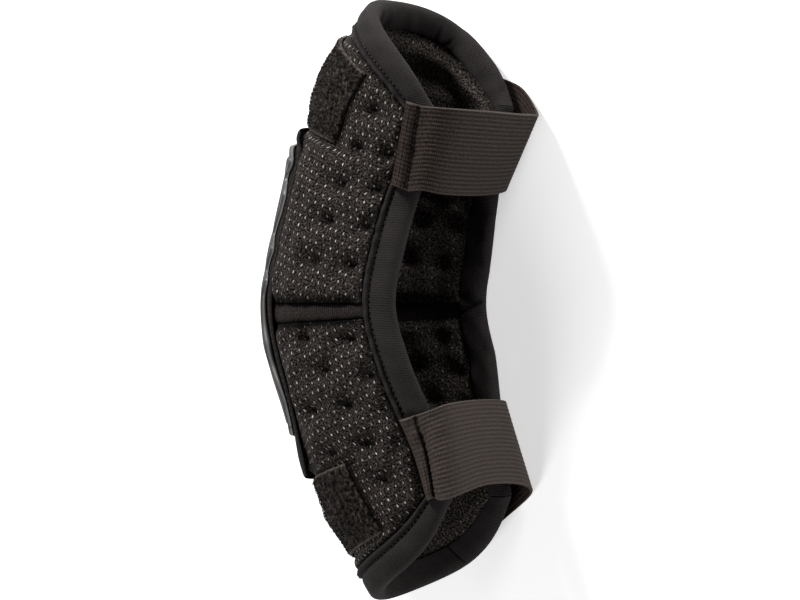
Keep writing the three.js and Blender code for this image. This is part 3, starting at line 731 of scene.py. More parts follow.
def tape_piece(name, kind, side, count, seed, wrinkles):
    stations = np.linspace(-1, 1, count) if kind == "hem" else np.linspace(0, 1, count)
    along, around = tape_shares(kind, side, stations, tape_ring[:, 0])
    heights = np.broadcast_to(tape_ring[:, 1], along.shape).copy()
    face = on_wall(along, around)
    # Which points of the section are on the rolled seam, on the tape, and in the sewn groove between
    pairs = len(tape_section)
    outside = tape_section[:, 1] > -1.3
    on_roll = ease(tape_section[:, 0], 12.2, 12.9) * outside
    on_tape = (1 - ease(np.abs(tape_section[:, 0] - 6), 3, 6)) * outside
    in_groove = (np.abs(tape_section[:, 0] - groove_mm) < 0.4) * outside
    pucker = ripple(face[:, :pairs], 5, seed)
    heights[:, :pairs] += 0.3 * on_roll * pucker + 0.2 * on_tape * ripple(face[:, :pairs], 12, seed + 1)
    heights[:, :pairs] += 0.25 * in_groove * ripple(face[:, :pairs], 3, seed + 2)
    inside = (tape_section[:, 1] < -7) * 1.0
    heights[:, :pairs] -= 0.3 * inside * ripple(face[:, :pairs], 10, seed + 3)
    # Each wrinkle of the inner side: place along, slant, width in mm, and where it starts from the lip
    wrinkle = np.zeros((count, pairs))
    for place, slant, width, start in wrinkles:
        offset = (stations[:, None] - place) * channel_length / 2 + slant * (tape_section[:, 0] - 6)
        inner_side = (tape_section[:, 1] < -5) * ease(tape_section[:, 0], start, start + 5)
        wrinkle = np.maximum(wrinkle, np.exp(-((offset / width) ** 2)) * inner_side)
    heights[:, :pairs] += 0.9 * wrinkle
    points = laid_on_floor(on_wall(along, around, heights))
    ring = len(tape_ring)
    index = np.arange(count * ring).reshape(count, ring)
    after = np.roll(index, -1, axis=1)
    sides = np.stack([index[:-1], after[:-1], after[1:], index[1:]], -1).reshape(-1, 4)
    ends = []
    for row in (index[0], index[-1]):
        outer, slot = row[:pairs], row[pairs:][::-1]
        ends.append(np.stack([outer[:-1], slot[:-1], slot[1:], outer[1:]], -1))
    faces = np.concatenate([sides, ends[0], ends[1][:, ::-1]])
    corners = points.reshape(-1, 3)
    a, b, c, d = (corners[faces[:, k]] for k in range(4))
    volume = (a * np.cross(b, c)).sum() + (a * np.cross(c, d)).sum()
    if volume < 0:
        faces = faces[:, ::-1]
    lengths = np.linalg.norm(np.diff(points[:, pairs // 2], axis=0), axis=-1)
    run = np.concatenate([[0], np.cumsum(lengths)])[:, None]
    girth = np.cumsum(np.concatenate([[0], np.hypot(*np.diff(tape_ring, axis=0).T)]))
    flat_map = np.stack(np.broadcast_arrays(run, girth[None, :]), -1).reshape(-1, 2)
    made = smooth_mesh(name, corners, faces, flat_map)
    # Painted shade in the sewn groove, at the rolled seam's outer edge and in the wrinkles.
    groove_shade = np.zeros(ring)
    groove_shade[:pairs] = 0.9 * in_groove + 0.5 * (tape_section[:, 0] > 15.1)
    tape_shade = np.broadcast_to(groove_shade, (count, ring)).copy()
    tape_shade[:, :pairs] = np.maximum(tape_shade[:, :pairs], 0.7 * wrinkle)
    mark(made, "painted_shade", tape_shade)
    return made


# Binding tape: a flat rib knit. Its ribs run across the tape, about 1.3 mm apart, drawn a little
# coarser than the real yarn so that they show. Matte black with a faint grey bloom.
rib_pitch = 1.2
binding_knit, tree, shader, flat = cloth_material("black_rib_knit_tape")
ribs = add_node(
    tree,
    "ShaderNodeTexWave",
    {"Vector": flat, "Scale": 0.314 / rib_pitch, "Distortion": 0.6, "Detail": 1.0},
    bands_direction="X",
)
lint = add_node(tree, "ShaderNodeTexNoise", {"Vector": flat, "Scale": 1.6, "Detail": 2.0})
cloudy = add_node(tree, "ShaderNodeTexNoise", {"Vector": flat, "Scale": 0.08, "Detail": 2.0})
mixed = add_node(
    tree,
    "ShaderNodeMath",
    {0: ribs.outputs["Fac"], 1: 0.3, 2: lint.outputs["Fac"]},
    operation="MULTIPLY_ADD",
)
shade = add_node(
    tree,
    "ShaderNodeMath",
    {0: cloudy.outputs["Fac"], 1: 0.4, 2: mixed.outputs[0]},
    operation="MULTIPLY_ADD",
)
tone = add_node(
    tree, "ShaderNodeValToRGB", {"Fac": shade.outputs[0]}, stops=((0.45, "#080606"), (0.95, "#302c2c"))
)
finish_cloth(tree, shader, tone.outputs["Color"], mixed.outputs[0], 0.6, 0.0003, 0.88, 0.08)

# Each length: which end or edge of the channel it binds, its stations, random seed and wrinkles
for name, kind, side, count, seed, wrinkles in (
    ("upper_hem_binding", "hem", 1, 300, 21, [(-0.40, 0.8, 1.6, 3.0), (-0.52, -0.5, 2.0, 5.0)]),
    ("lower_hem_binding", "hem", 0, 280, 31, [(-0.57, 0.2, 0.8, -5.0)]),
    ("near_edge_binding", "edge", 1, 190, 41, []),
    ("far_edge_binding", "edge", -1, 280, 51, [(0.485, 0.5, 1.0, -5.0), (0.50, -0.4, 1.5, 4.0)]),
):
    tape = tape_piece(name.replace("binding", "tape"), kind, side, count, seed, wrinkles)
    tape.data.materials.append(binding_knit)
    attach(tape, "root")
    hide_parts(name)


# The elbow armour
# A thin moulded shell of satin dark plastic with a wavy rim covers the back of the elbow. It is sewn
# through a black felt backing that shows as a narrow border all round.
gap = 0.3
backing_thickness = 0.9
shell_thickness = 2.1
backing_low = 1.8 * gap
shell_low = backing_low + backing_thickness + 1.8 * gap
# Outlines: share along and half width round the back, from the forearm end to the upper end
shell_edge = np.array(
    [
        (0.283, 0.17), (0.292, 0.24), (0.330, 0.278), (0.367, 0.268), (0.400, 0.240), (0.433, 0.262),
        (0.467, 0.236), (0.515, 0.242), (0.542, 0.300), (0.563, 0.245), (0.600, 0.318), (0.629, 0.240),
        (0.660, 0.300), (0.692, 0.312), (0.717, 0.240), (0.734, 0.316), (0.748, 0.285), (0.757, 0.18),
    ]
)
backing_edge = np.array(
    [
        (0.219, 0.24), (0.228, 0.296), (0.250, 0.302), (0.278, 0.290), (0.320, 0.314), (0.370, 0.325),
        (0.430, 0.320), (0.500, 0.335), (0.575, 0.363), (0.655, 0.357), (0.720, 0.362), (0.750, 0.352),
        (0.770, 0.320), (0.778, 0.25),
    ]
)


def rounded_table(table, x, blur):
    """The half widths with their corners softened over blur, a share along the arm."""
    total = np.zeros_like(x)
    offsets = np.linspace(-blur, blur, 9)
    for offset in offsets:
        total += np.interp(np.clip(x + offset, table[0, 0], table[-1, 0]), table[:, 0], table[:, 1])
    return total / len(offsets)


def back_grid(table, rows, columns, blur):
    """Shares of a grid inside the outline, and each point's distance in mm from the rim."""
    spots = (1 - np.cos(np.linspace(0, np.pi, rows))) / 2
    across = np.sin(np.linspace(-np.pi / 2, np.pi / 2, columns))
    across = 0.5 * across + 0.5 * np.linspace(-1, 1, columns)
    along = table[0, 0] + (table[-1, 0] - table[0, 0]) * (0.6 * spots + 0.4 * np.linspace(0, 1, rows))
    half = rounded_table(table, along, blur)
    around = across * half[:, None]
    along = np.broadcast_to(along[:, None], around.shape)
    rim = (half[:, None] - np.abs(around)) * girth_at(along)
    ends = np.minimum(along - table[0, 0], table[-1, 0] - along) * mm_per_share(along, around)
    return along, around, np.minimum(rim, ends)


# Felted backing: needled polyester, flat black, with short random fibres.
felt, tree, shader, flat = cloth_material("black_needled_felt")
fibres = add_node(
    tree, "ShaderNodeTexNoise", {"Vector": flat, "Scale": 1.4, "Detail": 4.0, "Roughness": 0.7}
)
tone = add_node(
    tree,
    "ShaderNodeValToRGB",
    {"Fac": fibres.outputs["Fac"]},
    stops=((0.4, "#0b0a09"), (0.75, "#35302d")),
)
finish_cloth(tree, shader, tone.outputs["Color"], fibres.outputs["Fac"], 0.7, 0.0004, 0.95, 0.08)

# Its rim is rounded, and the tab at its forearm end and its upper end stand off the pads
backing_blur = 0.012
along, around, rim = back_grid(backing_edge, 110, 50, backing_blur)
rounded_rim = 0.35 * np.exp(-((rim / 0.7) ** 2))
tab_lift = 1.5 * (1 - ease(along, 0.235, 0.30)) + 1.3 * ease(along, 0.757, 0.770)
backing = slab(
    "felt_shell_backing",
    on_wall(along, around, backing_low + backing_thickness - rounded_rim + tab_lift),
    on_wall(along, around, backing_low + tab_lift),
    np.stack([around * girth_at(along), along * channel_length], -1),
)
backing.data.materials.append(felt)
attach(backing, "root")
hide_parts("shell_backing")

# Moulded shell: satin polypropylene, spark-eroded to a fine grain, with a pale painted highlight along its
# rim.
satin_plastic = bpy.data.materials.new("dark_satin_polypropylene")
satin_plastic.use_nodes = True
tree = satin_plastic.node_tree
shader = tree.nodes["Principled BSDF"]
place = add_node(tree, "ShaderNodeTexCoord").outputs["Object"]
grain_per_metre = 1 / 0.0011
grain = add_node(tree, "ShaderNodeTexNoise", {"Vector": place, "Scale": grain_per_metre, "Detail": 2.0})
wear_and_highlight = add_node(tree, "ShaderNodeTexNoise", {"Vector": place, "Scale": 60.0, "Detail": 3.0})
painted_rim_highlight = add_node(tree, "ShaderNodeAttribute", attribute_name="painted_rim_highlight")
base = add_node(
    tree,
    "ShaderNodeValToRGB",
    {"Fac": wear_and_highlight.outputs["Fac"]},
    stops=((0.3, "#2a2a2b"), (0.75, "#363637")),
)
colour = add_node(
    tree,
    "ShaderNodeMix",
    {0: painted_rim_highlight.outputs["Fac"], 6: base.outputs["Color"], 7: linear("#8e8b88")},
    data_type="RGBA",
)
smoothness = add_node(
    tree,
    "ShaderNodeMapRange",
    {"Value": wear_and_highlight.outputs["Fac"], "From Min": 0.3, "From Max": 0.7, "To Min": 0.36, "To Max": 0.5},
)
bump = add_node(
    tree, "ShaderNodeBump", {"Height": grain.outputs["Fac"], "Strength": 0.25, "Distance": 0.0001}
)
tree.links.new(colour.outputs[2], shader.inputs["Base Color"])
tree.links.new(smoothness.outputs[0], shader.inputs["Roughness"])
tree.links.new(bump.outputs["Normal"], shader.inputs["Normal"])
shader.inputs["IOR"].default_value = 1.49

# In from the rim: a bevel, a raised lip, a step up to the panel, and a channel round its middle
along, around, rim = back_grid(shell_edge, 190, 84, 0.006)
lip = 0.55 * np.exp(-(((rim - 1.3) / 0.8) ** 2))
bevel = 1.1 * np.exp(-((rim / 0.45) ** 2))
panel = 0.9 * ease(rim, 5.0, 7.0)
channel = 0.8 * within(rim, 11.0, 12.2, 14.0, 15.2)
# Along the arm the shell lies closer to the pads in some places than in others
seat = 0.7 * np.exp(-(((along - 0.43) / 0.05) ** 2)) - 0.9 * np.exp(-(((along - 0.31) / 0.045) ** 2))
seat = seat - 1.1 * within(along, 0.50, 0.56, 0.70, 0.76)
top = shell_low + shell_thickness + lip - bevel + panel - channel + seat
shell = slab(
    "moulded_elbow_shell",
    on_wall(along, around, top),
    on_wall(along, around, np.full(rim.shape, shell_low)),
    np.stack([around * girth_at(along), along * channel_length], -1),
)
# A painted highlight: the rim is mixed toward pale grey.
highlight_attribute = shell.data.attributes.new("painted_rim_highlight", "FLOAT", "POINT")
rim_glint = 0.65 * np.exp(-((rim / 0.35) ** 2))
highlight_attribute.data.foreach_set("value", np.concatenate([rim_glint.ravel(), np.zeros(rim_glint.size)]).astype(np.float32))
shell.data.materials.append(satin_plastic)
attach(shell, "root")
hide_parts("elbow_shell")


# The fuzzy strips and hook tabs
# Brushed loop tape is sewn round the back near each hem, ending in a cut edge on the near side. The
# straps' hook tabs press on its far end, hidden between the wall and the floor.
loop_low = 1.5 * gap
loop_thickness = 1.8
strip_far_end = -0.62

# Brushed loop: tangled nylon loops, brown-black, matte, catching light on their crowns.
loop_pile, tree, shader, _ = cloth_material("brown_black_brushed_loop")
place = add_node(tree, "ShaderNodeTexCoord").outputs["Object"]
tufts = add_node(tree, "ShaderNodeTexNoise", {"Vector": place, "Scale": 1 / 0.0016, "Detail": 3.0})
tone = add_node(
    tree,
    "ShaderNodeValToRGB",
    {"Fac": tufts.outputs["Fac"]},
    stops=((0.43, "#040302"), (0.67, "#4a413b")),
)
finish_cloth(tree, shader, tone.outputs["Color"], tufts.outputs["Fac"], 0.8, 0.0006, 0.9, 0.08)
shader.inputs["Sheen Weight"].default_value = 0.05


def plain_mesh(made):
    """Turns what the modifiers make into the object's own mesh."""
    depsgraph = bpy.context.evaluated_depsgraph_get()
    finished = bpy.data.meshes.new_from_object(made.evaluated_get(depsgraph))
    made.modifiers.clear()
    old = made.data
    made.data = finished
    bpy.data.meshes.remove(old)


def node_group(name, sockets):
    group = bpy.data.node_groups.new(name, "GeometryNodeTree")
    for label, kind in sockets:
        group.interface.new_socket(label, in_out="INPUT", socket_type=kind)
    group.interface.new_socket("Geometry", in_out="OUTPUT", socket_type="NodeSocketGeometry")
    return group, add_node(group, "NodeGroupInput"), add_node(group, "NodeGroupOutput")


def give_inputs(modifier, values):
    for item in modifier.node_group.interface.items_tree:
        if item.in_out == "INPUT" and item.name in values:
            modifier[item.identifier] = values[item.name]


# One bent loop of yarn: a three-sided tube over half a turn, 1 mm high
yarn_radius = 0.13
loops_per_square_metre = 1.0e6
loop_turn = np.linspace(0, np.pi, 5)
loop_path = np.stack([0.45 * np.cos(loop_turn), 0.12 * np.sin(2 * loop_turn), np.sin(loop_turn)], -1)
loop_outward = unit(loop_path * (1, 0, 0) + (0, 0, 1e-3))
loop_points = np.concatenate(
    [
        loop_path
        + yarn_radius * np.array((0.0, np.cos(turn), np.sin(turn)))
        + yarn_radius * np.cos(turn + 1.57) * loop_outward
        for turn in (0.0, 2.09, 4.19)
    ]
)
loop_faces = np.array(
    [
        (5 * side + k, 5 * side + k + 1, (5 * side + k + 6) % 15, (5 * side + k + 5) % 15)
        for side in range(3)
        for k in range(4)
    ]
)
yarn_loop = smooth_mesh("yarn_loop", loop_points, loop_faces)

pile_tree, given, result = node_group(
    "brushed_pile",
    (
        ("Geometry", "NodeSocketGeometry"),
        ("Loops per square metre", "NodeSocketFloat"),
        ("Seed", "NodeSocketInt"),
        ("Loop", "NodeSocketObject"),
        ("Finish", "NodeSocketMaterial"),
    ),
)
fuzzy = add_node(pile_tree, "GeometryNodeInputNamedAttribute", {"Name": "fuzzy"}, data_type="FLOAT")
density = add_node(
    pile_tree,
    "ShaderNodeMath",
    {0: fuzzy.outputs["Attribute"], 1: given.outputs["Loops per square metre"]},
    operation="MULTIPLY",
)
scattered = add_node(
    pile_tree,
    "GeometryNodeDistributePointsOnFaces",
    {"Mesh": given.outputs["Geometry"], "Density": density.outputs[0], "Seed": given.outputs["Seed"]},
)
loop_info = add_node(pile_tree, "GeometryNodeObjectInfo", {"Object": given.outputs["Loop"]})
spin = add_node(
    pile_tree,
    "FunctionNodeRandomValue",
    {0: (-0.9, -0.9, 0.0), 1: (0.9, 0.9, 6.28), "Seed": given.outputs["Seed"]},
    data_type="FLOAT_VECTOR",
)
turned = add_node(
    pile_tree,
    "FunctionNodeRotateRotation",
    {"Rotation": scattered.outputs["Rotation"], "Rotate By": spin.outputs[0]},
    rotation_space="LOCAL",
)
grown = add_node(
    pile_tree,
    "FunctionNodeRandomValue",
    {0: (0.7, 0.7, 0.6), 1: (1.5, 1.5, 1.4), "Seed": given.outputs["Seed"]},
    data_type="FLOAT_VECTOR",
)
planted = add_node(
    pile_tree,
    "GeometryNodeInstanceOnPoints",
    {
        "Points": scattered.outputs["Points"],
        "Instance": loop_info.outputs["Geometry"],
        "Rotation": turned.outputs[0],
        "Scale": grown.outputs[0],
    },
)
joined = add_node(pile_tree, "GeometryNodeJoinGeometry")
pile_tree.links.new(given.outputs["Geometry"], joined.inputs[0])
pile_tree.links.new(planted.outputs[0], joined.inputs[0])
real = add_node(pile_tree, "GeometryNodeRealizeInstances", {0: joined.outputs[0]})
finished = add_node(
    pile_tree, "GeometryNodeSetMaterial", {"Geometry": real.outputs[0], "Material": given.outputs["Finish"]}
)
pile_tree.links.new(finished.outputs[0], result.inputs[0])

for name, (low, high, near_end, cut_back, edge_highlight, seed) in strips.items():
    along = np.linspace(low, high, 60)[:, None]
    cut_end = near_end - cut_back * (high - along) / (high - low)
    around = strip_far_end + (cut_end - strip_far_end) * np.linspace(0, 1, 190)[None, :]
    along, cut_end, around = np.broadcast_arrays(along, cut_end, around)
    hem_border = np.minimum(along - low, high - along) * mm_per_share(along, around)
    ends = np.minimum(around - strip_far_end, cut_end - around) * girth_at(along)
    border = np.minimum(hem_border, ends)
    face = on_wall(along, around)
    free = 1 - ease(-around, 0.35, 0.45)
    lumps = free * (0.55 * ripple(face, 17, seed) + 0.25 * ripple(face, 6, seed + 1))
    crown = np.clip(border / 1.6, 0.0, 1.0) ** 0.5
    press = strip_press(along, around)
    top = loop_low + 0.5 + 0.7 * crown + np.maximum(lumps, -0.6) * crown - press
    strip = slab(
        "brushed_" + name,
        on_wall(along, around, top),
        on_wall(along, around, loop_low - press),
        np.stack([around * girth_at(along), along * channel_length], -1),
    )
    woolly = ease(border, 0.8, 1.8) * free
    values = np.concatenate([woolly.ravel(), np.zeros(woolly.size)]).astype(np.float32)
    strip.data.attributes.new("fuzzy", "FLOAT", "POINT").data.foreach_set("value", values)
    # Painted highlight along the sewn edges at the strip's rims.
    mark(strip, "wear_and_highlight", edge_highlight * np.exp(-(((hem_border - 0.5) / 0.4) ** 2)) * free)
    modifier = strip.modifiers.new("pile", "NODES")
    modifier.node_group = pile_tree
    give_inputs(
        modifier,
        {
            "Loops per square metre": loops_per_square_metre,
            "Seed": seed,
            "Loop": yarn_loop,
            "Finish": loop_pile,
        },
    )
    plain_mesh(strip)
    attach(strip, "root")
    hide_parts(name)
bpy.data.objects.remove(yarn_loop)

# Hook tape: moulded nylon in fine rows of hooks, 1.6 mm apart, black and slightly glossy.
hook_tape = bpy.data.materials.new("black_moulded_hook_tape")
hook_tape.use_nodes = True
tree = hook_tape.node_tree
shader = tree.nodes["Principled BSDF"]
place = add_node(tree, "ShaderNodeTexCoord").outputs["Object"]
hooks = add_node(tree, "ShaderNodeTexVoronoi", {"Vector": place, "Scale": 1 / 0.0016, "Randomness": 0.15})
bump = add_node(
    tree, "ShaderNodeBump", {"Height": hooks.outputs["Distance"], "Strength": 0.8, "Distance": 0.0005}
)
tone = add_node(
    tree,
    "ShaderNodeValToRGB",
    {"Fac": hooks.outputs["Distance"]},
    stops=((0.0, "#1b1918"), (1.0, "#0c0b0b")),
)
tree.links.new(tone.outputs["Color"], shader.inputs["Base Color"])
tree.links.new(bump.outputs["Normal"], shader.inputs["Normal"])
shader.inputs["Roughness"].default_value = 0.5
for name in ("upper_hook_tab", "lower_hook_tab"):
    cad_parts[name].data.materials.clear()
    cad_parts[name].data.materials.append(hook_tape)


# The straps
# Ribbed elastic webbing, 45 mm wide, sewn to the near wall by a folded end, carried across the open
# front and round the far edge, and fastened under the far wall.
strap_thickness = 1.6
strap_width = 45.0
strap_fold = 6.7
hem_seam = 7.2
hem_run = 11.0
hem_lines = 44
strap_pitch = 1.15
lines_across = 141
rib_spacing = 2.25
weft_spacing = 0.9
hook_thickness = 1.2
# A strap lies on the near tape, and over its strip and hook tab at the far side
on_tape = tape_proud + 2 * gap
strap_low = loop_low + loop_thickness + gap + hook_thickness + 1.3 * gap
# Stations on the wall: side, around, low and high rims as shares along, turn.
# Free stations: 0, out, near, low and high rims as shares of the sizes, what is added to out at the low rim.
upper_strap_stations = [
    (1, 0.8480, 0.775, 0.950, -0.0250),
    (1, 0.9265, 0.784, 0.972, -0.0265),
    (0, 0.712, 0.430, 0.1850, 0.3180, -0.105),
    (0, 0.780, 0.335, 0.1800, 0.3165, -0.122),
    (0, 0.813, 0.120, 0.1795, 0.3160, -0.142),
    (0, 0.819, -0.120, 0.1825, 0.3155, -0.156),
    (0, 0.815, -0.330, 0.1885, 0.3165, -0.180),
    (0, 0.796, -0.436, 0.1980, 0.3210, -0.198),
    (0, 0.676, -0.482, 0.2180, 0.3620, -0.120),
    (-1, 0.760, 0.772, 0.982, 0.0),
    (-1, 0.620, 0.775, 0.960, 0.0),
    (-1, 0.460, 0.778, 0.943, 0.0),
]
lower_strap_stations = [
    (1, 0.8595, 0.066, 0.243, 0.0105),
    (1, 0.9150, 0.052, 0.240, 0.013),
    (0, 0.640, 0.405, -0.3140, -0.1700, 0.085),
    (0, 0.690, 0.330, -0.3060, -0.1600, 0.080),
    (0, 0.694, 0.120, -0.2945, -0.1560, 0.089),
    (0, 0.680, -0.120, -0.2930, -0.1560, 0.110),
    (0, 0.650, -0.320, -0.3000, -0.1600, 0.144),
    (0, 0.592, -0.412, -0.3145, -0.1660, 0.178),
    (0, 0.515, -0.442, -0.3410, -0.1780, 0.146),
    (-1, 0.740, 0.036, 0.222, 0.0),
    (-1, 0.620, 0.046, 0.216, 0.0),
    (-1, 0.460, 0.052, 0.210, 0.0),
]


def strap_line(station, across):
    if station[0]:
        side, around, low, high, turn = station
        around = around + turn * (2 * across - 1)
        height = on_tape if side == 1 else strap_low
        return on_wall(low + (high - low) * across, side * around, np.full_like(across, height))
    _, out, near, low, high, low_out = station
    out = channel_depth * (out + low_out * (1 - across))
    up = channel_length * (low + (high - low) * across)
    near = np.full_like(across, channel_width * near)
    turned = [np.cos(tilt) * up - np.sin(tilt) * near, -out, np.sin(tilt) * up + np.cos(tilt) * near]
    return np.stack(turned, -1) + shift_to_origin


def strap_path(stations, across, per_station):
    lines = np.array([strap_line(station, across) for station in stations])
    path = []
    for step in range((len(stations) - 1) * per_station + 1):
        x = step / per_station
        i = min(int(x), len(stations) - 2)
        start, end = stations[i], stations[i + 1]
        if start[0] and start[0] == end[0]:
            between = tuple(a + (b - a) * (x - i) for a, b in zip(start, end))
            path.append(strap_line((start[0], *between[1:]), across))
        else:
            path.append(smooth_between(lines, x))
    return np.array(path)


def evenly_spaced(path, pitch):
    """The same sheet with its lines an even pitch apart at its middle, and closer in its hem."""
    middle = path[:, path.shape[1] // 2]
    run = np.concatenate([[0], np.cumsum(np.linalg.norm(np.diff(middle, axis=0), axis=-1))])
    hem = np.linspace(0, hem_run, hem_lines)[:-1]
    want = np.concatenate([hem, np.linspace(hem_run, run[-1], int((run[-1] - hem_run) / pitch) + 1)])
    flat = path.reshape(len(path), -1)
    even = np.stack([np.interp(want, run, flat[:, k]) for k in range(flat.shape[1])], -1)
    return even.reshape(len(want), *path.shape[1:]), want


# Elastic webbing: polyester over rubber, warp ribs 2.25 mm apart crossed by a fine weft each 0.9 mm.
elastic, tree, shader, flat = cloth_material("brown_black_ribbed_elastic")
parts = add_node(tree, "ShaderNodeSeparateXYZ", {0: flat})
weft = add_node(
    tree,
    "ShaderNodeTexWave",
    {
        "Vector": flat,
        "Scale": 0.314 / weft_spacing,
        "Distortion": 2.5,
        "Detail": 2.0,
        "Detail Scale": 2.0,
    },
    bands_direction="X",
)
rib_angle = add_node(
    tree, "ShaderNodeMath", {0: parts.outputs["Y"], 1: 2 * np.pi / rib_spacing}, operation="MULTIPLY"
)
rib_wave = add_node(tree, "ShaderNodeMath", {0: rib_angle.outputs[0]}, operation="COSINE")
lint = add_node(tree, "ShaderNodeTexNoise", {"Vector": flat, "Scale": 0.9, "Detail": 3.0, "Roughness": 0.7})
woven = add_node(
    tree,
    "ShaderNodeMath",
    {0: weft.outputs["Fac"], 1: 0.2, 2: lint.outputs["Fac"]},
    operation="MULTIPLY_ADD",
)
shade = add_node(
    tree,
    "ShaderNodeMath",
    {0: rib_wave.outputs[0], 1: 0.11, 2: woven.outputs[0]},
    operation="MULTIPLY_ADD",
)
tone = add_node(
    tree, "ShaderNodeValToRGB", {"Fac": shade.outputs[0]}, stops=((0.36, "#0e0b0a"), (0.84, "#413732"))
)
finish_cloth(tree, shader, tone.outputs["Color"], woven.outputs[0], 0.5, 0.0003, 0.8, 0.1)

# Along the strap in mm from its sewn end, and height in mm: a puffy rolled hem, then the stitched crease
hem_profile = np.array(
    [
        (0.0, 0.4), (0.4, 1.7), (1.2, 3.0), (2.2, 3.7), (3.4, 3.9), (4.6, 3.7), (5.6, 3.0), (6.3, 1.7),
        (6.9, 0.7), (7.5, 0.7), (8.3, 1.3), (9.5, 1.7), (hem_run, strap_thickness),
    ]
)
strap_borders = {}
for name, stations, seed, painted_brightening in (
    ("upper_strap", upper_strap_stations, 81, 0.0),
    ("lower_strap", lower_strap_stations, 91, 0.10),
):
    across = np.linspace(0, 1, lines_across)
    inner, run = evenly_spaced(strap_path(stations, across, 24), strap_pitch)
    ahead = np.gradient(inner, axis=0)
    sideways = np.gradient(inner, axis=1)
    outward = unit(np.cross(ahead, sideways))
    across_mm = across * strap_width
    from_rim = np.minimum(across_mm, strap_width - across_mm)
    ribs = 0.14 * np.cos(2 * np.pi * across_mm / rib_spacing)
    selvedge = 0.35 * np.exp(-((from_rim / 1.0) ** 2))
    rounded_rim = -0.7 * np.exp(-((from_rim / 0.35) ** 2))
    hem_height = np.interp(run, *hem_profile.T)
    gathers = 0.22 * ripple(inner, 7, seed) * np.exp(-((run - strap_fold) / 14) ** 2)[:, None]
    puckers = 0.25 * np.cos(2 * np.pi * across_mm / 4.1)[None, :]
    gathers = gathers + puckers * np.exp(-(((run - 7.4) / 2.2) ** 2))[:, None]
    in_hem = 1 - ease(run, strap_fold, hem_run)[:, None]
    rolled = 0.15 * np.cos(2 * np.pi * run / 1.6)[:, None] * (1 - ease(run, 5.0, strap_fold))[:, None]
    height = hem_height[:, None] + ribs * (1 - 0.7 * in_hem) + rolled + selvedge + rounded_rim
    # Under the far wall the strap lies smooth and no thicker than its webbing
    resting = ease(run, run[-1] - 70, run[-1] - 50)[:, None]
    height = height + gathers * (1 - resting)
    height = np.where(resting > 0, np.minimum(height, strap_thickness), height)
    strap = slab(
        "elastic_" + name,
        inner + outward * height[..., None],
        inner + outward * (-0.12 * np.cos(2 * np.pi * across_mm / rib_spacing) * (1 - resting))[..., None],
        np.stack(np.broadcast_arrays(run[:, None], across_mm[None, :]), -1),
    )
    # Painted shade in the stitched crease and along the sewn end; painted highlight over the whole lower
    # strap and on the selvedges, which are partly a paler, denser weave.
    strap_seam_shade = 0.85 * np.exp(-(((run - hem_seam) / 0.7) ** 2)) + 0.8 * np.exp(-((run / 0.7) ** 2))
    mark(strap, "painted_shade", np.broadcast_to(strap_seam_shade[:, None], height.shape))
    selvedge_highlight = 0.13 * np.exp(-((from_rim / 0.8) ** 2))
    mark(strap, "wear_and_highlight", np.broadcast_to(painted_brightening + selvedge_highlight[None, :], height.shape))
    strap.data.materials.append(elastic)
    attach(strap, "root")
    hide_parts(name)
    strap_borders[name] = (inner + outward * height[..., None], outward, run)


# The stitching
# Black bonded polyester thread in lockstitch, about 2.6 mm a stitch: along the binding's groove, round
# the backing and across the straps' folded ends.
stitch_pitch = 2.6
stitch_length = 1.9
thread_width = 0.5

thread = bpy.data.materials.new("black_bonded_thread")
thread.use_nodes = True
tree = thread.node_tree
shader = tree.nodes["Principled BSDF"]
place = add_node(tree, "ShaderNodeTexCoord").outputs["Object"]
twist = add_node(tree, "ShaderNodeTexNoise", {"Vector": place, "Scale": 1 / 0.0004, "Detail": 1.0})
tone = add_node(
    tree,
    "ShaderNodeValToRGB",
    {"Fac": twist.outputs["Fac"]},
    stops=((0.0, "#151312"), (1.0, "#3d3836")),
)
bump = add_node(tree, "ShaderNodeBump", {"Height": twist.outputs["Fac"], "Strength": 0.5, "Distance": 0.0001})
tree.links.new(tone.outputs["Color"], shader.inputs["Base Color"])
tree.links.new(bump.outputs["Normal"], shader.inputs["Normal"])
shader.inputs["Roughness"].default_value = 0.6

stitch_tree, given, result = node_group(
    "lockstitch",
    (
        ("Geometry", "NodeSocketGeometry"),
        ("Pitch", "NodeSocketFloat"),
        ("Length", "NodeSocketFloat"),
        ("Thread", "NodeSocketFloat"),
        ("Finish", "NodeSocketMaterial"),
    ),
)
line = add_node(stitch_tree, "GeometryNodeMeshToCurve", {"Mesh": given.outputs["Geometry"]})
spots = add_node(
    stitch_tree,
    "GeometryNodeCurveToPoints",
    {"Curve": line.outputs[0], "Length": given.outputs["Pitch"]},
    mode="LENGTH",
)
facing = add_node(
    stitch_tree, "FunctionNodeAlignRotationToVector", {"Vector": spots.outputs["Tangent"]}, axis="X"
)
bead = add_node(stitch_tree, "GeometryNodeMeshUVSphere", {"Segments": 8, "Rings": 5, "Radius": 0.5})
shape = add_node(
    stitch_tree,
    "ShaderNodeCombineXYZ",
    {0: given.outputs["Length"], 1: given.outputs["Thread"], 2: given.outputs["Thread"]},
)
sewn = add_node(
    stitch_tree,
    "GeometryNodeInstanceOnPoints",
    {
        "Points": spots.outputs["Points"],
        "Instance": bead.outputs["Mesh"],
        "Rotation": facing.outputs[0],
        "Scale": shape.outputs[0],
    },
)
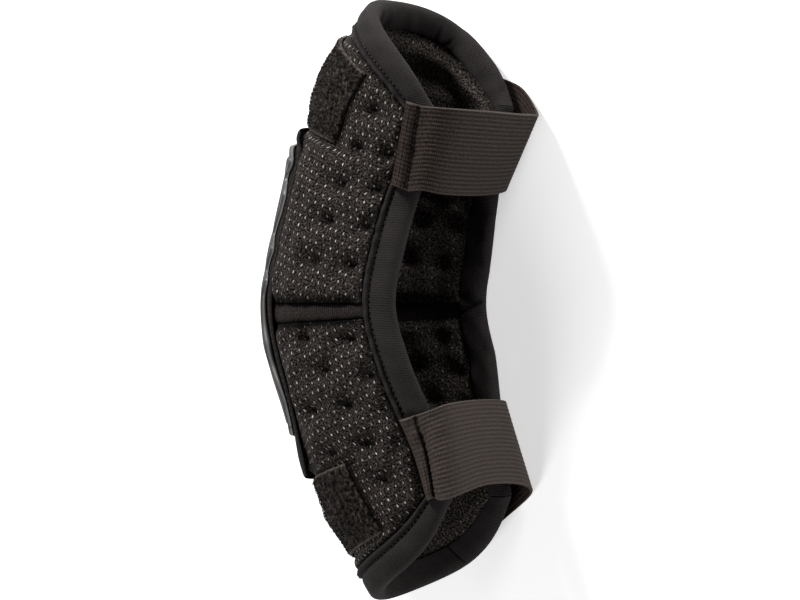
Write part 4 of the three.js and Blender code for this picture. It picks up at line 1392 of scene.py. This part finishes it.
real = add_node(stitch_tree, "GeometryNodeRealizeInstances", {0: sewn.outputs[0]})
finished = add_node(
    stitch_tree, "GeometryNodeSetMaterial", {"Geometry": real.outputs[0], "Material": given.outputs["Finish"]}
)
stitch_tree.links.new(finished.outputs[0], result.inputs[0])


def stitches(name, lines, slot, pitch=stitch_pitch):
    """Stitches along each line of points in mm, as one piece."""
    mesh = bpy.data.meshes.new(name)
    points, edges = [], []
    for path in lines:
        first = len(points)
        points += (path * 0.001).tolist()
        edges += [(first + k, first + k + 1) for k in range(len(path) - 1)]
    mesh.from_pydata(points, edges, [])
    made = bpy.data.objects.new(name, mesh)
    bpy.context.scene.collection.objects.link(made)
    modifier = made.modifiers.new("lockstitch", "NODES")
    modifier.node_group = stitch_tree
    give_inputs(
        modifier,
        {
            "Pitch": pitch / 1000,
            "Length": stitch_length / 1000,
            "Thread": thread_width / 1000,
            "Finish": thread,
        },
    )
    plain_mesh(made)
    made.data.polygons.foreach_set("use_smooth", np.ones(len(made.data.polygons), bool))
    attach(made, "root")


groove_height = -0.95
groove_lines = []
for kind, side in (("hem", 1), ("hem", 0), ("edge", 1), ("edge", -1)):
    stations = np.linspace(-1 if kind == "hem" else 0, 1, 300)
    along, around = tape_shares(kind, side, stations, np.array([groove_mm]))
    groove_lines.append(on_wall(along[:, 0], around[:, 0], np.full(len(stations), groove_height)))
stitches("binding_groove_stitches", groove_lines, "binding")

# The thread round the backing lies this far in from its rim, and this much over its face
backing_seam_inset, thread_lift = 2.2, 0.1
along = np.linspace(0.240, 0.765, 200)
half = rounded_table(backing_edge, along, backing_blur) - backing_seam_inset / girth_at(along)
height = np.full(len(along), backing_low + backing_thickness + thread_lift)
stitches("backing_stitches", [on_wall(along, s * half, height) for s in (1, -1)], "backing", 3.2)

strap_seams = []
for outer, outward, run in strap_borders.values():
    row = int(np.argmin(np.abs(run - hem_seam)))
    strap_seams.append((outer[row] + outward[row] * 0.15)[2:-2])
stitches("strap_end_stitches", strap_seams, "elastic", 2.4)
